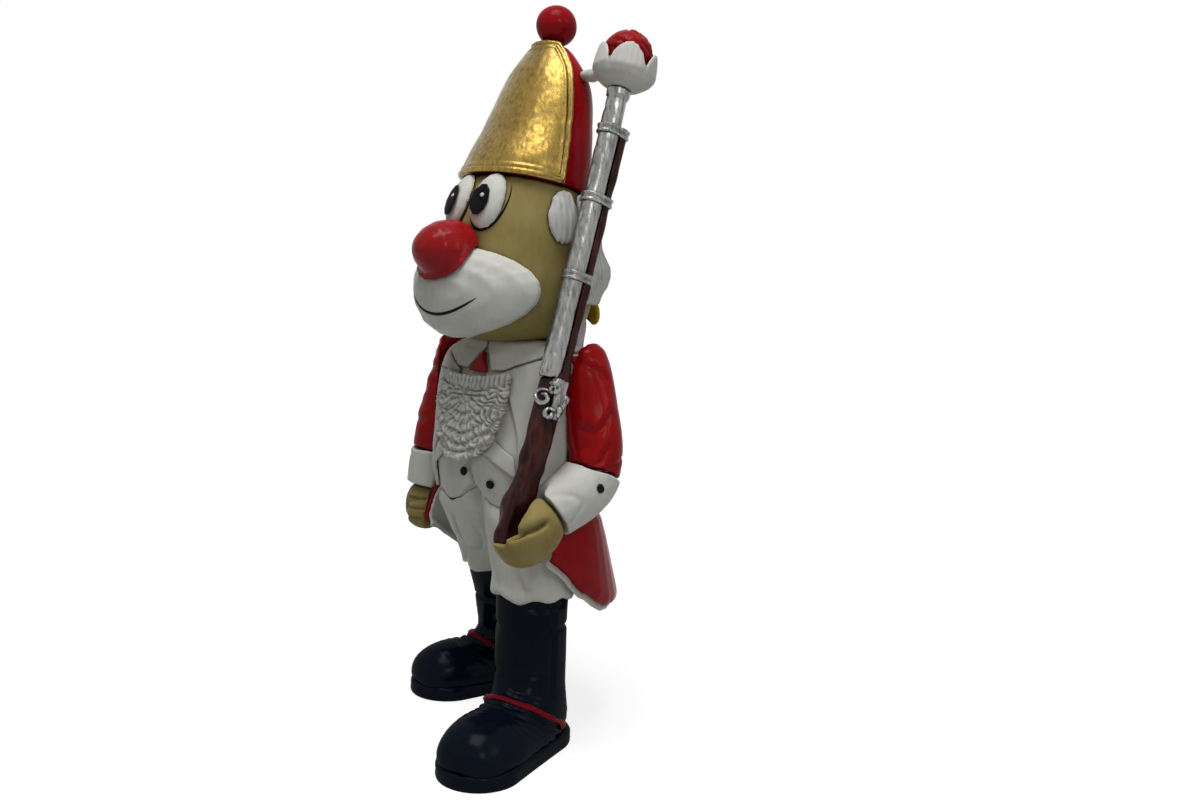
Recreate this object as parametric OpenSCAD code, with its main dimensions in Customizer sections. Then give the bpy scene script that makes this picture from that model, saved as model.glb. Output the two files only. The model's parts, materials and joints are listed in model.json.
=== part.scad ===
// A toy guardsman: a standing soldier in a red tail coat and a tall gold-fronted cap,
// who holds a musket upright in the left hand with a flower in its muzzle.
// Millimetres, +Z up. The figure faces -Y, its left side is +X, and it stands on z = 0.

/* [Stance] */
// Distance between the two ankles, side to side
stance = 49; // [46:1:60]
// Distance between the two ankles, front to back
stride = 39; // [20:1:44]
// How far the left ankle stands in front of the body's axis
left_step = 10; // [6:1:16]
// Turn of each foot away from straight ahead
toe_out = 14; // [0:1:25]

/* [Boots] */
// Height of the boot tops, where the breeches end
boot_height = 50; // [46:1:60]
// Diameter of the boot shaft
shaft_d = 25; // [22:0.5:27]
// Length of the foot from heel to toe cap
foot_length = 57; // [52:1:66]
// Width of the foot across the toe cap
toe_width = 27; // [24:0.5:30]
// Height of the toe cap above the ground
toe_height = 18.5; // [16:0.5:22]
// Thickness of the sole
sole_thickness = 5; // [3:0.5:7]
// Width of the sole's welt outside the boot
welt = 0.4; // [0.3:0.1:1.2]
// Diameter of the red cord round the ankle
cord_d = 2.2; // [1.6:0.1:3]

/* [Legs] */
// Height of the breeches from the boot top to the waist
leg_length = 30; // [28:1:36]
// Diameter of the breeches at the hem
hem_d = 28; // [26.5:0.5:30]

/* [Torso] */
// Height from the waist to the neck
torso_height = 53; // [50:1:60]
// Width at the waist
waist_width = 61; // [56:1:66]
// Depth at the waist
waist_depth = 40; // [36:1:44]
// Width at the belly
belly_width = 64; // [60:1:68]
// Depth at the belly
belly_depth = 43; // [40:1:48]
// Width at the chest
chest_width = 67; // [63:1:70]
// Depth at the chest
chest_depth = 37; // [34:1:40]
// Diameter of the neck
neck_d = 25; // [20:1:28]

/* [Coat] */
// Thickness of the red cloth and of the lapels
cloth = 1.3; // [1:0.1:2]
// Thickness of the white lining of the tails
lining = 1.1; // [0.8:0.1:1.6]
// Height of the tail tips above the ground
tail_tip_height = 39; // [34:1:46]
// Height of the tails' front corners above the ground
tail_front_height = 60; // [54:1:66]
// Width of the lining that shows below the red hem
hem_border = 1.8; // [1:0.1:3]
// Width of the crossed belts
belt_width = 7; // [5:0.5:9]
// Thickness of the crossed belts
belt_thickness = 0.9; // [0.6:0.1:1.4]
// Width of the frilled jabot
jabot_width = 33; // [28:1:35]
// Height of the frilled jabot
jabot_height = 29; // [24:1:32]
// How far the jabot stands out from the belts
jabot_depth = 4; // [3:0.25:6]
// Diameter of the coat buttons
button_d = 3; // [2:0.25:4]

/* [Arms] */
// Diameter of the sleeves
sleeve_d = 18; // [16:0.5:20]
// How far the cuffs stand out beyond the sleeves
cuff_step = 0.6; // [0.3:0.1:1.2]
// Length of each cuff
cuff_length = 13; // [10:0.5:16]
// Length of the right arm from the shoulder's top to the wrist
arm_length = 58; // [54:1:64]
// Width of a closed hand
hand_width = 16.5; // [15:0.5:19]
// Height of a closed hand
hand_height = 16.5; // [15:0.5:19]

/* [Head] */
// Height of the head from the neck to the cap's rim
head_height = 53.5; // [50:0.5:60]
// Width of the head
head_width = 51; // [47:0.5:54]
// Depth of the head from front to back
head_depth = 54; // [50:0.5:58]
// Width of the white mouth patch, round the face
mouth_width = 58; // [50:1:62]
// Height of the white mouth patch
mouth_height = 28; // [24:1:32]
// How far the mouth patch stands out
mouth_depth = 10; // [7:0.5:12]
// Diameter of the nose
nose_d = 18; // [15:0.5:20]
// Height of an eye
eye_height = 16; // [13:0.5:18]
// Thickness of the wig at the sides
wig = 2.4; // [1.8:0.1:3]
// How far the wig's rolled edge stands out
wig_roll = 3; // [2:0.25:5]
// Diameter of the queue behind the neck
queue_d = 7; // [5:0.5:9]
// Length of the queue
queue_length = 26; // [20:1:30]

/* [Cap] */
// Height of the cap from its rim to the pompom
cap_height = 52.5; // [48:0.5:58]
// Width of the cap at its rim
cap_width = 48; // [45:0.5:50]
// Depth of the cap at its rim
cap_depth = 42; // [40:0.5:45]
// Angle by which the cap leans back
cap_tilt = 12; // [8:1:16]
// Thickness of the gold front plate
plate = 1.2; // [0.8:0.1:2]
// Height of the raised bead round the plate
plate_bead = 0.8; // [0.4:0.1:1.2]
// Diameter of the pompom
pompom_d = 14.5; // [12:0.5:17]

/* [Musket] */
// Diameter of the barrel
barrel_d = 7; // [5.5:0.5:8]
// Width of the butt
butt_width = 8; // [7:0.5:10]
// Depth of the butt from front to back
butt_depth = 8.5; // [7.5:0.5:11]
// Length of the musket from the butt to the muzzle
musket_length = 152; // [148:1:158]
// Length of the barrel
barrel_length = 98; // [90:1:104]
// Angle by which the musket leans back
musket_lean = 15.5; // [13:0.5:17]
// Diameter of the flower
flower_d = 22.5; // [20:0.5:24]
// Height of the flower's petals
flower_height = 13.5; // [11:0.5:17]

/* [Pins] */
// Diameter of the dowels in the legs and hips
leg_pin_d = 4; // [3:0.5:5]
// Diameter of the dowels in the neck and cap
head_pin_d = 6; // [4:0.5:7]
// Diameter of the wires in the arms, pompom and flower
wire_d = 2.4; // [1.8:0.2:3]

/* [Fits] */
// Glue gap between curved faces of two castings
seat = 0.3; // [0.2:0.05:0.4]
// Clearance round a pin in its bore, on the diameter
pin_fit = 0.2; // [0.1:0.05:0.3]

/* [Hidden] */
$fn = 48;

// Paint colours
red = [0.62, 0.05, 0.05];
white = [0.90, 0.89, 0.86];
olive = [0.50, 0.40, 0.20];
black = [0.03, 0.04, 0.06];
gold = [0.78, 0.58, 0.18];
silver = [0.72, 0.73, 0.74];
wood = [0.26, 0.07, 0.06];
yellow = [0.75, 0.62, 0.12];
steel = [0.55, 0.56, 0.58];

LEFT = 1;
RIGHT = -1;
FRONT = -90;
BACK = 90;

// Heights of the main joints
waist_z = boot_height + leg_length;
neck_z = waist_z + torso_height;
rim_z = neck_z + head_height;

// Vectors and smooth curves

function mix(a, b, t) = a + (b - a) * t;
function unit(v) = v / norm(v);
function ease(t) = t * t * (3 - 2 * t);
function hump(t) = abs(t) >= 1 ? 0 : pow(cos(90 * t), 2);
function dome(r) = sqrt(max(0, 1 - r * r));
// Shares from 0 to 1 that crowd towards the end
function crowd(t) = 1 - pow(1 - t, 1.6);

// A smooth curve through stations, each of which starts with its own key.
function span(list, key, i = 0) =
    (i >= len(list) - 2 || key <= list[i + 1][0]) ? i : span(list, key, i + 1);
function slope(list, i) =
    let (
        before = list[max(i - 1, 0)],
        after = list[min(i + 1, len(list) - 1)]
    )
    (after - before) / (after[0] - before[0]);
function curve(list, key) =
    let (
        i = span(list, key),
        reach = list[i + 1][0] - list[i][0],
        t = (key - list[i][0]) / reach,
        t2 = t * t,
        t3 = t2 * t
    )
    list[i] * (2 * t3 - 3 * t2 + 1) + slope(list, i) * reach * (t3 - 2 * t2 + t)
    + list[i + 1] * (3 * t2 - 2 * t3) + slope(list, i + 1) * reach * (t3 - t2);

// A stack is a list of oval sections: [key, z, half width, half depth, y, tilt back, x].
function stack_point(stack, angle, key) =
    let (
        s = curve(stack, key),
        depth = s[3] * sin(angle)
    )
    [s[6] + s[2] * cos(angle), s[4] + depth * cos(s[5]), s[1] - depth * sin(s[5])];
function stack_normal(stack, angle, key) =
    let (
        nudge = 0.02,
        around = stack_point(stack, angle + 1, key) - stack_point(stack, angle - 1, key),
        along = stack_point(stack, angle, key + nudge) - stack_point(stack, angle, key - nudge)
    )
    unit(cross(around, along));
function stack_out(stack, angle, key, out) =
    stack_point(stack, angle, key) + out * stack_normal(stack, angle, key);

// Moves a point straight out of a level stack, so that it stays a distance clear of it.
function clear_of(stack, point, distance) =
    let (
        key = min(max(point[2], stack[0][0]), stack[len(stack) - 1][0]),
        s = curve(stack, key),
        rise = curve(stack, key + 0.5) - curve(stack, key - 0.5),
        from = [point[0] - s[6], point[1] - s[4]],
        reach = [s[2] + distance * norm([1, rise[2]]), s[3] + distance * norm([1, rise[3]])],
        share = norm([from[0] / reach[0], from[1] / reach[1]])
    )
    share >= 1 ? point : [s[6] + from[0] / share, s[4] + from[1] / share, point[2]];

// Moves a point straight into a level stack, so that it stays inside it.
function inside_of(stack, point) =
    let (
        s = curve(stack, point[2]),
        from = [point[0] - s[6], point[1] - s[4]],
        share = norm([from[0] / s[2], from[1] / s[3]])
    )
    share <= 1 ? point : [s[6] + from[0] / share, s[4] + from[1] / share, point[2]];

// Moves a point out of a round bar, so that it stays outside its radius.
function clear_of_bar(point, start, along, radius) =
    let (
        from = point - start,
        away = from - along * (from * along),
        distance = norm(away)
    )
    distance >= radius ? point : point + away * (radius / distance - 1);

// Solids from rings and grids of points

// A solid through rings that all have the same number of points, closed by a fan at each end.
module skin(rings) {
    n = len(rings[0]);
    last = len(rings) - 1;
    bottom = n * (last + 1);
    top = bottom + 1;
    ones = [for (p = rings[0]) 1];
    middle_points = [ones * rings[0] / n, ones * rings[last] / n];
    walls = [
        for (i = [0:last - 1], j = [0:n - 1])
            let (a = i * n + j, b = i * n + (j + 1) % n)
                each [[a, a + n, b + n], [a, b + n, b]]
    ];
    floor_fan = [for (j = [0:n - 1]) [bottom, j, (j + 1) % n]];
    roof_fan = [for (j = [0:n - 1]) [top, last * n + (j + 1) % n, last * n + j]];
    polyhedron(
        points = concat([for (ring = rings) each ring], middle_points),
        faces = concat(walls, floor_fan, roof_fan)
    );
}

// A plate between two grids of points: rows run upwards and columns run anticlockwise from above.
module sheet(outer, inner) {
    rows = len(outer);
    cols = len(outer[0]);
    count = rows * cols;
    front = [
        for (i = [0:rows - 2], j = [0:cols - 2])
            let (a = i * cols + j, b = a + cols)
                each [[a, b, b + 1], [a, b + 1, a + 1]]
    ];
    behind = [for (f = front) [f[2] + count, f[1] + count, f[0] + count]];
    rim = concat(
        [for (j = [0:cols - 1]) j],
        [for (i = [1:rows - 1]) i * cols + cols - 1],
        [for (j = [cols - 2:-1:0]) (rows - 1) * cols + j],
        [for (i = [rows - 2:-1:1]) i * cols]
    );
    edge = [
        for (k = [0:len(rim) - 1])
            let (a = rim[k], b = rim[(k + 1) % len(rim)])
                each [[a, b, b + count], [a, b + count, a + count]]
    ];
    polyhedron(
        points = concat([for (row = outer) each row], [for (row = inner) each row]),
        faces = concat(front, behind, edge)
    );
}

// A solid stack between two keys.
module stack_solid(stack, from, to, rings, sides) {
    skin([
        for (i = [0:rings])
            [for (j = [0:sides - 1]) stack_point(stack, 360 * j / sides, mix(from, to, crowd(i / rings)))]
    ]);
}

// Degrees of turn round a stack that cover one millimetre of its surface.
function degrees_per_mm(stack, angle, key) =
    2 / norm(stack_point(stack, angle + 1, key) - stack_point(stack, angle - 1, key));

// A rounded blister on a stack: an oval patch whose outside rises from its edge to its middle.
module blister(stack, angle, key, half_w, half_h, base, edge, rise, sides = 16) {
    across = half_w * degrees_per_mm(stack, angle, key);
    profile = concat(
        [for (r = [0.06, 0.4, 0.7, 1]) [r, base]],
        [for (r = [1, 0.93, 0.78, 0.55, 0.3, 0.06]) [r, base + edge + rise * dome(r)]]
    );
    skin([
        for (p = profile)
            [
                for (j = [0:sides - 1])
                    let (
                        turn = 360 * j / sides,
                        place = [angle + across * p[0] * cos(turn), key + half_h * p[0] * sin(turn)]
                    )
                    stack_out(stack, place[0], place[1], p[1])
            ]
    ]);
}

// A grid of points on a stack, between two turns and two keys, at a distance from its surface.
function grid(stack, turns, keys, cols, rows, out) = [
    for (i = [0:rows])
        [
            for (j = [0:cols])
                let (
                    turn = mix(turns[0], turns[1], j / cols),
                    key = mix(keys[0], keys[1], crowd(i / rows))
                )
                stack_out(stack, turn, key, out)
        ]
];

// A limb is a list of round sections along a path: [key, x, y, z, radius].
function limb_heading(limb, key) =
    let (
        nudge = 0.01,
        step = curve(limb, key + nudge) - curve(limb, key - nudge)
    )
    unit([step[1], step[2], step[3]]);
function limb_ring(limb, key, grow, sides) =
    let (
        s = curve(limb, key),
        heading = limb_heading(limb, key),
        u = unit(cross([0, 1, 0], heading)),
        v = cross(heading, u)
    )
    [
        for (j = [0:sides - 1])
            let (turn = 360 * j / sides)
                [s[1], s[2], s[3]] + (s[4] + grow) * (cos(turn) * u + sin(turn) * v)
    ];

// A dowel from a point along a heading, also used to cut the bore that takes it.
module dowel(from, heading, length, diameter) {
    tilt = acos(unit(heading)[2]);
    turn = atan2(heading[1], heading[0]);
    translate(from) rotate([0, 0, turn]) rotate([0, tilt, 0]) cylinder(h = length, d = diameter);
}

// A dowel set half in each of two pieces that meet at a point.
module pin(middle, heading, length, diameter) {
    dowel(middle - unit(heading) * length / 2, heading, length, diameter);
}

// The left-hand piece as drawn, or its mirror image on the right.
module on_side(side) {
    if (side == RIGHT) mirror([1, 0, 0]) children();
    else children();
}

// Places shared by the boots and the legs

body_y = 2;
hip_x = waist_width / 5;
ankle_z = sole_thickness + 10;
shaft_r = shaft_d / 2;
heel_step = 3;
heel_reach = shaft_r + heel_step;
toe_reach = foot_length - heel_reach;
leg_pin_length = 20;
hip_pin_length = 18;

function ankle(side) = [side * stance / 2, side == LEFT ? -left_step : stride - left_step];
function leg_axis(side, z) =
    mix([side * hip_x, body_y], ankle(side), (waist_z - z) / (waist_z - ankle_z));
function boot_top(side) = [each leg_axis(side, boot_height), boot_height];

// Soles and boots

function shaft_at(share) = mix(toe_height, boot_height, share);
// Sections of the boot from its top to its toe: the back or lower point and the front or upper
// point of each, as distance ahead of the ankle and height, and then the half width.
boot_sections = [
    [0, -shaft_r, boot_height, shaft_r, boot_height, shaft_r],
    [1, 0.4 - shaft_r, shaft_at(0.6), shaft_r - 0.4, shaft_at(0.62), shaft_r - 0.4],
    [2, -shaft_r, shaft_at(0.14), shaft_r, shaft_at(0.25), shaft_r - 0.4],
    [3, 1 - heel_reach, toe_height - 7, shaft_r + 1, toe_height + 3.5, shaft_r - 0.3],
    [4, -heel_reach, sole_thickness + 1, shaft_r + 4, toe_height + 1.5, shaft_r],
    [5, 6.5 - heel_reach, -2, toe_reach - 21, toe_height - 0.3, shaft_r + 0.3],
    [6, 18 - heel_reach, -3, toe_reach - 14.5, toe_height + 0.2, toe_width / 2 - 0.3],
    [7, toe_reach - 27, -3, toe_reach - 7, toe_height - 1.5, toe_width / 2],
    [8, toe_reach - 15, -2, toe_reach - 1.8, toe_height - 5.5, toe_width / 2 - 1.3],
    [9, toe_reach - 7, 0, toe_reach, toe_height - 10.5, toe_width / 2 - 5],
    [9.6, toe_reach - 4.5, 2.5, toe_reach - 0.2, toe_height - 12.5, toe_width / 2 - 9]
];

function foot_place(side, across, ahead, z) =
    let (
        turn = side * toe_out,
        at = z > ankle_z ? leg_axis(side, z) : ankle(side)
    )
    [at[0] + across * cos(turn) + ahead * sin(turn), at[1] + across * sin(turn) - ahead * cos(turn), z];
function boot_point(side, turn, key) =
    let (
        s = curve(boot_sections, key),
        ahead = mix(s[1], s[3], (1 + sin(turn)) / 2),
        z = mix(s[2], s[4], (1 + sin(turn)) / 2)
    )
    foot_place(side, s[5] * cos(turn), ahead, max(z, sole_thickness));
function boot_normal(side, turn, key) =
    let (nudge = 0.02)
        unit(cross(
            boot_point(side, turn + 1, key) - boot_point(side, turn - 1, key),
            boot_point(side, turn, key + nudge) - boot_point(side, turn, key - nudge)
        ));

module sole(side) {
    heel_r = shaft_r + welt;
    toe_r = toe_width / 2 + welt;
    heel_at = heel_reach - shaft_r;
    toe_at = toe_width / 2 - toe_reach;
    lean = (heel_r - toe_r) / (heel_at - toe_at);
    flank = sqrt(1 - lean * lean);
    color(black)
        translate([each ankle(side), 0])
            rotate(side * toe_out)
                linear_extrude(sole_thickness) {
                    translate([0, heel_at]) circle(r = heel_r);
                    translate([0, toe_at]) circle(r = toe_r);
                    polygon([
                        [heel_r * flank, heel_at + heel_r * lean],
                        [-heel_r * flank, heel_at + heel_r * lean],
                        [-toe_r * flank, toe_at + toe_r * lean],
                        [toe_r * flank, toe_at + toe_r * lean]
                    ]);
                }
}
module left_sole() sole(LEFT);
module right_sole() sole(RIGHT);

module boot(side) {
    steps = 19;
    sides = 20;
    last = boot_sections[len(boot_sections) - 1][0];
    color(black)
        difference() {
            skin([
                for (i = [0:steps])
                    [for (j = [0:sides - 1]) boot_point(side, 360 * j / sides, last * i / steps)]
            ]);
            pin(boot_top(side), [0, 0, 1], leg_pin_length + 1, leg_pin_d + pin_fit);
        }
}
module left_boot() boot(LEFT);
module right_boot() boot(RIGHT);

// The cord runs over the instep and down both sides of the heel.
module boot_cord(side) {
    at = 3.9;
    reach = 125;
    steps = 24;
    sides = 6;
    color(red)
        skin([
            for (i = [0:steps])
                let (
                    turn = BACK + reach * (1 - 2 * i / steps),
                    r = cord_d / 2 * (0.35 + 0.65 * dome(pow(abs(1 - 2 * i / steps), 6))),
                    normal = boot_normal(side, turn, at),
                    ahead = boot_point(side, turn - 1, at) - boot_point(side, turn + 1, at),
                    up = unit(cross(unit(ahead), normal)),
                    middle = boot_point(side, turn, at) + normal * (seat + r)
                )
                [
                    for (j = [0:sides - 1])
                        let (round = 360 * j / sides)
                            middle + r * (cos(round) * normal + sin(round) * up)
                ]
        ]);
}
module left_boot_cord() boot_cord(LEFT);
module right_boot_cord() boot_cord(RIGHT);

// Breeches

hem_r = hem_d / 2;
hip_half_width = waist_width / 2 - hip_x;
function leg_section(side, rise, half_w, half_d) =
    let (
        z = mix(boot_height, waist_z, rise),
        at = leg_axis(side, z)
    )
    [z, z, half_w, half_d, at[1], 0, at[0]];
function leg_stack(side) = [
    leg_section(side, 0, hem_r, hem_r),
    leg_section(side, 0.2, hem_r + 0.8, hem_r + 0.8),
    leg_section(side, 0.5, mix(hem_r, hip_half_width, 0.4), mix(hem_r, waist_depth / 2, 0.45)),
    leg_section(side, 0.8, mix(hem_r, hip_half_width, 0.8), mix(hem_r, waist_depth / 2, 0.85)),
    leg_section(side, 1, hip_half_width, waist_depth / 2)
];

// The two legs meet face to face at the middle seam.
module breeches(side) {
    steps = 9;
    sides = 24;
    leg = leg_stack(side);
    color(white)
        difference() {
            skin([
                for (i = [0:steps])
                    [
                        for (j = [0:sides - 1])
                            let (
                                z = mix(boot_height, waist_z, i / steps),
                                p = inside_of(tail_stack, stack_point(leg, 360 * j / sides, z))
                            )
                            [side * max(side * p[0], seat / 2), p[1], p[2]]
                    ]
            ]);
            pin(boot_top(side), [0, 0, 1], leg_pin_length + 1, leg_pin_d + pin_fit);
            pin(hip(side), [0, 0, 1], hip_pin_length + 1, leg_pin_d + pin_fit);
        }
}
function hip(side) = [side * hip_x, body_y, waist_z];
module left_breeches() breeches(LEFT);
module right_breeches() breeches(RIGHT);

// Torso

neck_y = body_y + 1;
neck_pin_length = 24;
shoulder_pin_length = 15;
shoulder_z = neck_z - 12;
shoulder_x = chest_width / 2;

function section(z, width, depth, y, tilt = 0) = [z, z, width / 2, depth / 2, y, tilt, 0];
function torso_section(share, width, depth, y) = section(mix(waist_z, neck_z, share), width, depth, y);
// Sizes between the neck and the chest, at the shoulders
function shoulder_width(share) = mix(neck_d, chest_width, share);
function shoulder_depth(share) = mix(neck_d, chest_depth, share);
torso = [
    torso_section(0, waist_width, waist_depth, body_y),
    torso_section(0.2, belly_width, belly_depth, body_y - 0.5),
    torso_section(0.45, mix(belly_width, chest_width, 0.6), mix(belly_depth, chest_depth, 0.5), body_y),
    torso_section(0.66, chest_width, chest_depth, body_y + 0.3),
    torso_section(0.85, shoulder_width(0.93), shoulder_depth(0.75), body_y + 0.8),
    torso_section(0.95, shoulder_width(0.7), shoulder_depth(0.35), neck_y),
    torso_section(1, neck_d, neck_d, neck_y)
];
neck = [0, neck_y, neck_z];
function shoulder(side) = [side * shoulder_x, body_y + 1, shoulder_z];
module shoulder_bore(side) {
    pin(shoulder(side), [side, 0, 0], shoulder_pin_length + 1, wire_d + pin_fit);
}

module waistcoat() {
    color(white)
        difference() {
            stack_solid(torso, waist_z, neck_z, 13, 30);
            for (side = [LEFT, RIGHT]) {
                pin(hip(side), [0, 0, 1], hip_pin_length + 1, leg_pin_d + pin_fit);
                shoulder_bore(side);
            }
            pin(neck, [0, 0, 1], neck_pin_length + 1, head_pin_d + pin_fit);
        }
}

// Coat

coat_edge = -14;
coat_out = seat + cloth;
collar_top = neck_z - 0.6;
// Lower edge of the collar by turn: a point in front, then level round to the back
collar_edge = [
    [-89, neck_z - 1.5],
    [-78, neck_z - 9],
    [-55, neck_z - 5.5],
    [-20, neck_z - 2.2],
    [30, neck_z - 2.2],
    [90, neck_z - 3]
];
function collar_low(turn) = curve(collar_edge, turn)[1];

module coat_back() {
    turns = [coat_edge, 180 - coat_edge];
    keys = [waist_z + seat, neck_z - 3.2];
    color(red)
        difference() {
            sheet(grid(torso, turns, keys, 26, 9, coat_out), grid(torso, turns, keys, 26, 9, seat));
            for (side = [LEFT, RIGHT]) shoulder_bore(side);
        }
}

// Front edge of the lapel by height, from the waist up to the collar's point.
function lapel_front(share) = mix(-47, -72, ease(share));
function lapel_grid(out) =
    let (cols = 6, rows = 10, outer = coat_edge - 1.5)
        [
            for (i = [0:rows])
                [
                    for (j = [0:cols])
                        let (
                            turn = mix(lapel_front(i / rows), outer, j / cols),
                            top = collar_low(turn) - 2 * seat
                        )
                        stack_out(torso, turn, mix(waist_z + 1, top, crowd(i / rows)), out)
                ]
        ];
module lapel(side) {
    color(white) on_side(side) sheet(lapel_grid(coat_out), lapel_grid(seat));
}
module left_lapel() lapel(LEFT);
module right_lapel() lapel(RIGHT);

function collar_grid(out) =
    let (cols = 18, rows = 3)
        [
            for (i = [0:rows])
                [
                    for (j = [0:cols])
                        let (turn = mix(-89, 89.6, j / cols))
                            stack_out(torso, turn, mix(collar_low(turn), collar_top, i / rows), out)
                ]
        ];
module collar(side) {
    color(white) on_side(side) sheet(collar_grid(coat_out), collar_grid(seat));
}
module left_collar() collar(LEFT);
module right_collar() collar(RIGHT);

cloth_low = neck_z - 9.5;
function neckcloth_grid(out) =
    let (cols = 4, rows = 5)
        [
            for (i = [0:rows])
                let (half = mix(8, 1, i / rows))
                    [
                        for (j = [0:cols])
                            stack_out(
                                torso, FRONT + half * (2 * j / cols - 1),
                                mix(cloth_low, neck_z - 3, i / rows), out
                            )
                    ]
        ];
module neckcloth() {
    color(red) sheet(neckcloth_grid(coat_out), neckcloth_grid(seat));
}

// Coat tails

// The tails hang clear behind the leg that steps back.
tail_clear = 1.5;
tail_vent = 88;
tail_out = lining + cloth + 2 * seat;
tail_cols = 11;
tail_rows = 6;
tail_back = leg_axis(RIGHT, boot_height)[1] + hem_r + tail_clear + tail_out - body_y;
tail_half_depth = max(tail_back, waist_depth / 2 + 10) + 6;
tail_half_width = waist_width / 2 + 8;
tail_stack = [
    for (fall = [1:-0.125:0])
        let (z = mix(waist_z, tail_tip_height, fall))
            [
                z, z, mix(waist_width / 2, tail_half_width, sqrt(fall)),
                mix(waist_depth / 2, tail_half_depth, pow(fall, 0.8)), body_y, 0, 0
            ]
];
function tail_hem(turn) =
    mix(tail_front_height, tail_tip_height, ease(min(1, max(0, (turn - coat_edge) / (62 - coat_edge)))));
function tail_point(turn, drop, out, border) =
    let (
        z = mix(waist_z, tail_hem(turn) + border, drop),
        s = curve(tail_stack, z)
    )
    [(s[2] + out) * cos(turn), s[4] + (s[3] + out) * sin(turn), z];
function tail_grid(out, border) = [
    for (i = [tail_rows:-1:0])
        [
            for (j = [0:tail_cols])
                tail_point(mix(coat_edge - 4, tail_vent, j / tail_cols), i / tail_rows, out, border)
        ]
];
module tail(side) {
    color(red)
        on_side(side)
            sheet(tail_grid(tail_out, hem_border), tail_grid(tail_out - cloth, hem_border));
}
module left_tail() tail(LEFT);
module right_tail() tail(RIGHT);
module tail_lining(side) {
    color(white) on_side(side) sheet(tail_grid(seat + lining, 0), tail_grid(seat, 0));
}
module left_tail_lining() tail_lining(LEFT);
module right_tail_lining() tail_lining(RIGHT);

// Belts, jabot and buttons

jabot_top = cloth_low - seat;
jabot_low = jabot_top - jabot_height;
belt_cross_z = jabot_low + 0.38 * jabot_height;
belt_hip_z = waist_z + torso_height / 4;
function belt_grid(out) =
    let (cols = 9, rows = 3)
        [
            for (i = [0:rows])
                [
                    for (j = [0:cols])
                        let (
                            z = mix(belt_cross_z, belt_hip_z, j / cols) + belt_width * (i / rows - 0.5),
                            front = lapel_front((z - waist_z) / (neck_z - waist_z)) - 1
                        )
                        stack_out(torso, mix(FRONT + 0.6, front, j / cols), z, out)
                ]
        ];
module belt(side) {
    color(white) on_side(side) sheet(belt_grid(seat + belt_thickness), belt_grid(seat));
}
module left_belt() belt(LEFT);
module right_belt() belt(RIGHT);

// The jabot is a shield of frills: each row hangs over the next, and waves along its edge.
frill_rows = 5;
frill_waves = 7;
jabot_base = coat_out + seat;
function jabot_half(share) =
    let (
        round = 0.2 + 0.8 * dome(pow(1 - share, 1.2)),
        scallop = 1 - 0.06 * pow(sin(180 * frill_rows * share), 2)
    )
    jabot_width / 2 * round * scallop;
function frill(across, share) =
    let (
        row = share * frill_rows,
        hang = 1 - (row - floor(row)),
        wave = sin(360 * frill_waves * (across + 1) / 2 + 180 * floor(row))
    )
    0.45 + 0.25 * dome(across * 0.9) + 0.2 * hang + 0.1 * wave * hang;
function jabot_grid(lift) =
    let (cols = 21, rows = 15)
        [
            for (i = [0:rows])
                let (
                    share = i / rows,
                    z = mix(jabot_low, jabot_top, share),
                    half = jabot_half(share) * degrees_per_mm(torso, FRONT, z)
                )
                [
                    for (j = [0:cols])
                        let (across = 2 * j / cols - 1)
                            stack_out(
                                torso, FRONT + half * across, z,
                                jabot_base + lift * jabot_depth * frill(across, share)
                            )
                ]
        ];
module jabot() {
    color(white) sheet(jabot_grid(1), jabot_grid(0));
}

button_height = 1.3;
// Places of the buttons: turn and height on the waistcoat, and distance below the neck on the lapels
waistcoat_button_places = [[0, 10], [21, 7]];
lapel_button_drops = [10, 20, 33];
lapel_button_turn = -27;
module button(at, heading) {
    tilt = acos(unit(heading)[2]);
    turn = atan2(heading[1], heading[0]);
    dome_r = button_d * 0.65;
    translate(at) rotate([0, 0, turn]) rotate([0, tilt, 0])
        intersection() {
            cylinder(h = button_height, d = button_d);
            translate([0, 0, button_height - dome_r]) sphere(r = dome_r);
        }
}
module torso_button(turn, z, out) {
    button(stack_out(torso, turn, z, out), stack_normal(torso, turn, z));
}

module waistcoat_buttons() {
    color(black)
        for (place = waistcoat_button_places)
            torso_button(FRONT + place[0], waist_z + place[1], seat);
}
module lapel_buttons() {
    color(black)
        for (side = [LEFT, RIGHT], drop = lapel_button_drops)
            on_side(side) torso_button(lapel_button_turn, neck_z - drop, coat_out + seat);
}

// Arms

sleeve_r = sleeve_d / 2;
arm_top = [shoulder_x - 4.5, body_y + 1, neck_z + 2];
function arm_section(key, offset, radius) =
    [key, arm_top[0] + offset[0], arm_top[1] + offset[1], arm_top[2] + offset[2], radius];
upper_arm = [
    arm_section(0, [0, 0, 0], 2),
    arm_section(0.05, [0.6, 0, -1.6], sleeve_r * 0.66),
    arm_section(0.14, [2.4, 0, -6], sleeve_r * 0.93),
    arm_section(0.4, [7.5, -0.5, -22], sleeve_r)
];
right_arm = concat(upper_arm, [
    arm_section(0.7, [11, -2, mix(-22, -arm_length, 0.5)], sleeve_r),
    arm_section(1, [12.5, -4, -arm_length], sleeve_r * 0.92)
]);
right_cuff_key = 1 - cuff_length / arm_length;

// The musket's butt stands in front of the left hip, and the left wrist follows it.
musket_clear = 2.6;
musket_out_lean = 1;
fore_back = 4.4;
breech_back = fore_back + 0.8;
button_room = 0.9;
musket_reach = max(butt_depth / 2, breech_back) + button_room;
musket_slope = [tan(musket_out_lean), tan(musket_lean), 1];
butt_drop = 8;
butt_z = waist_z - butt_drop;
butt_x = head_width / 2 + seat + wig + musket_clear + barrel_d / 2
    - musket_slope[0] * (mix(neck_z, rim_z, 0.8) - butt_z);
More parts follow.
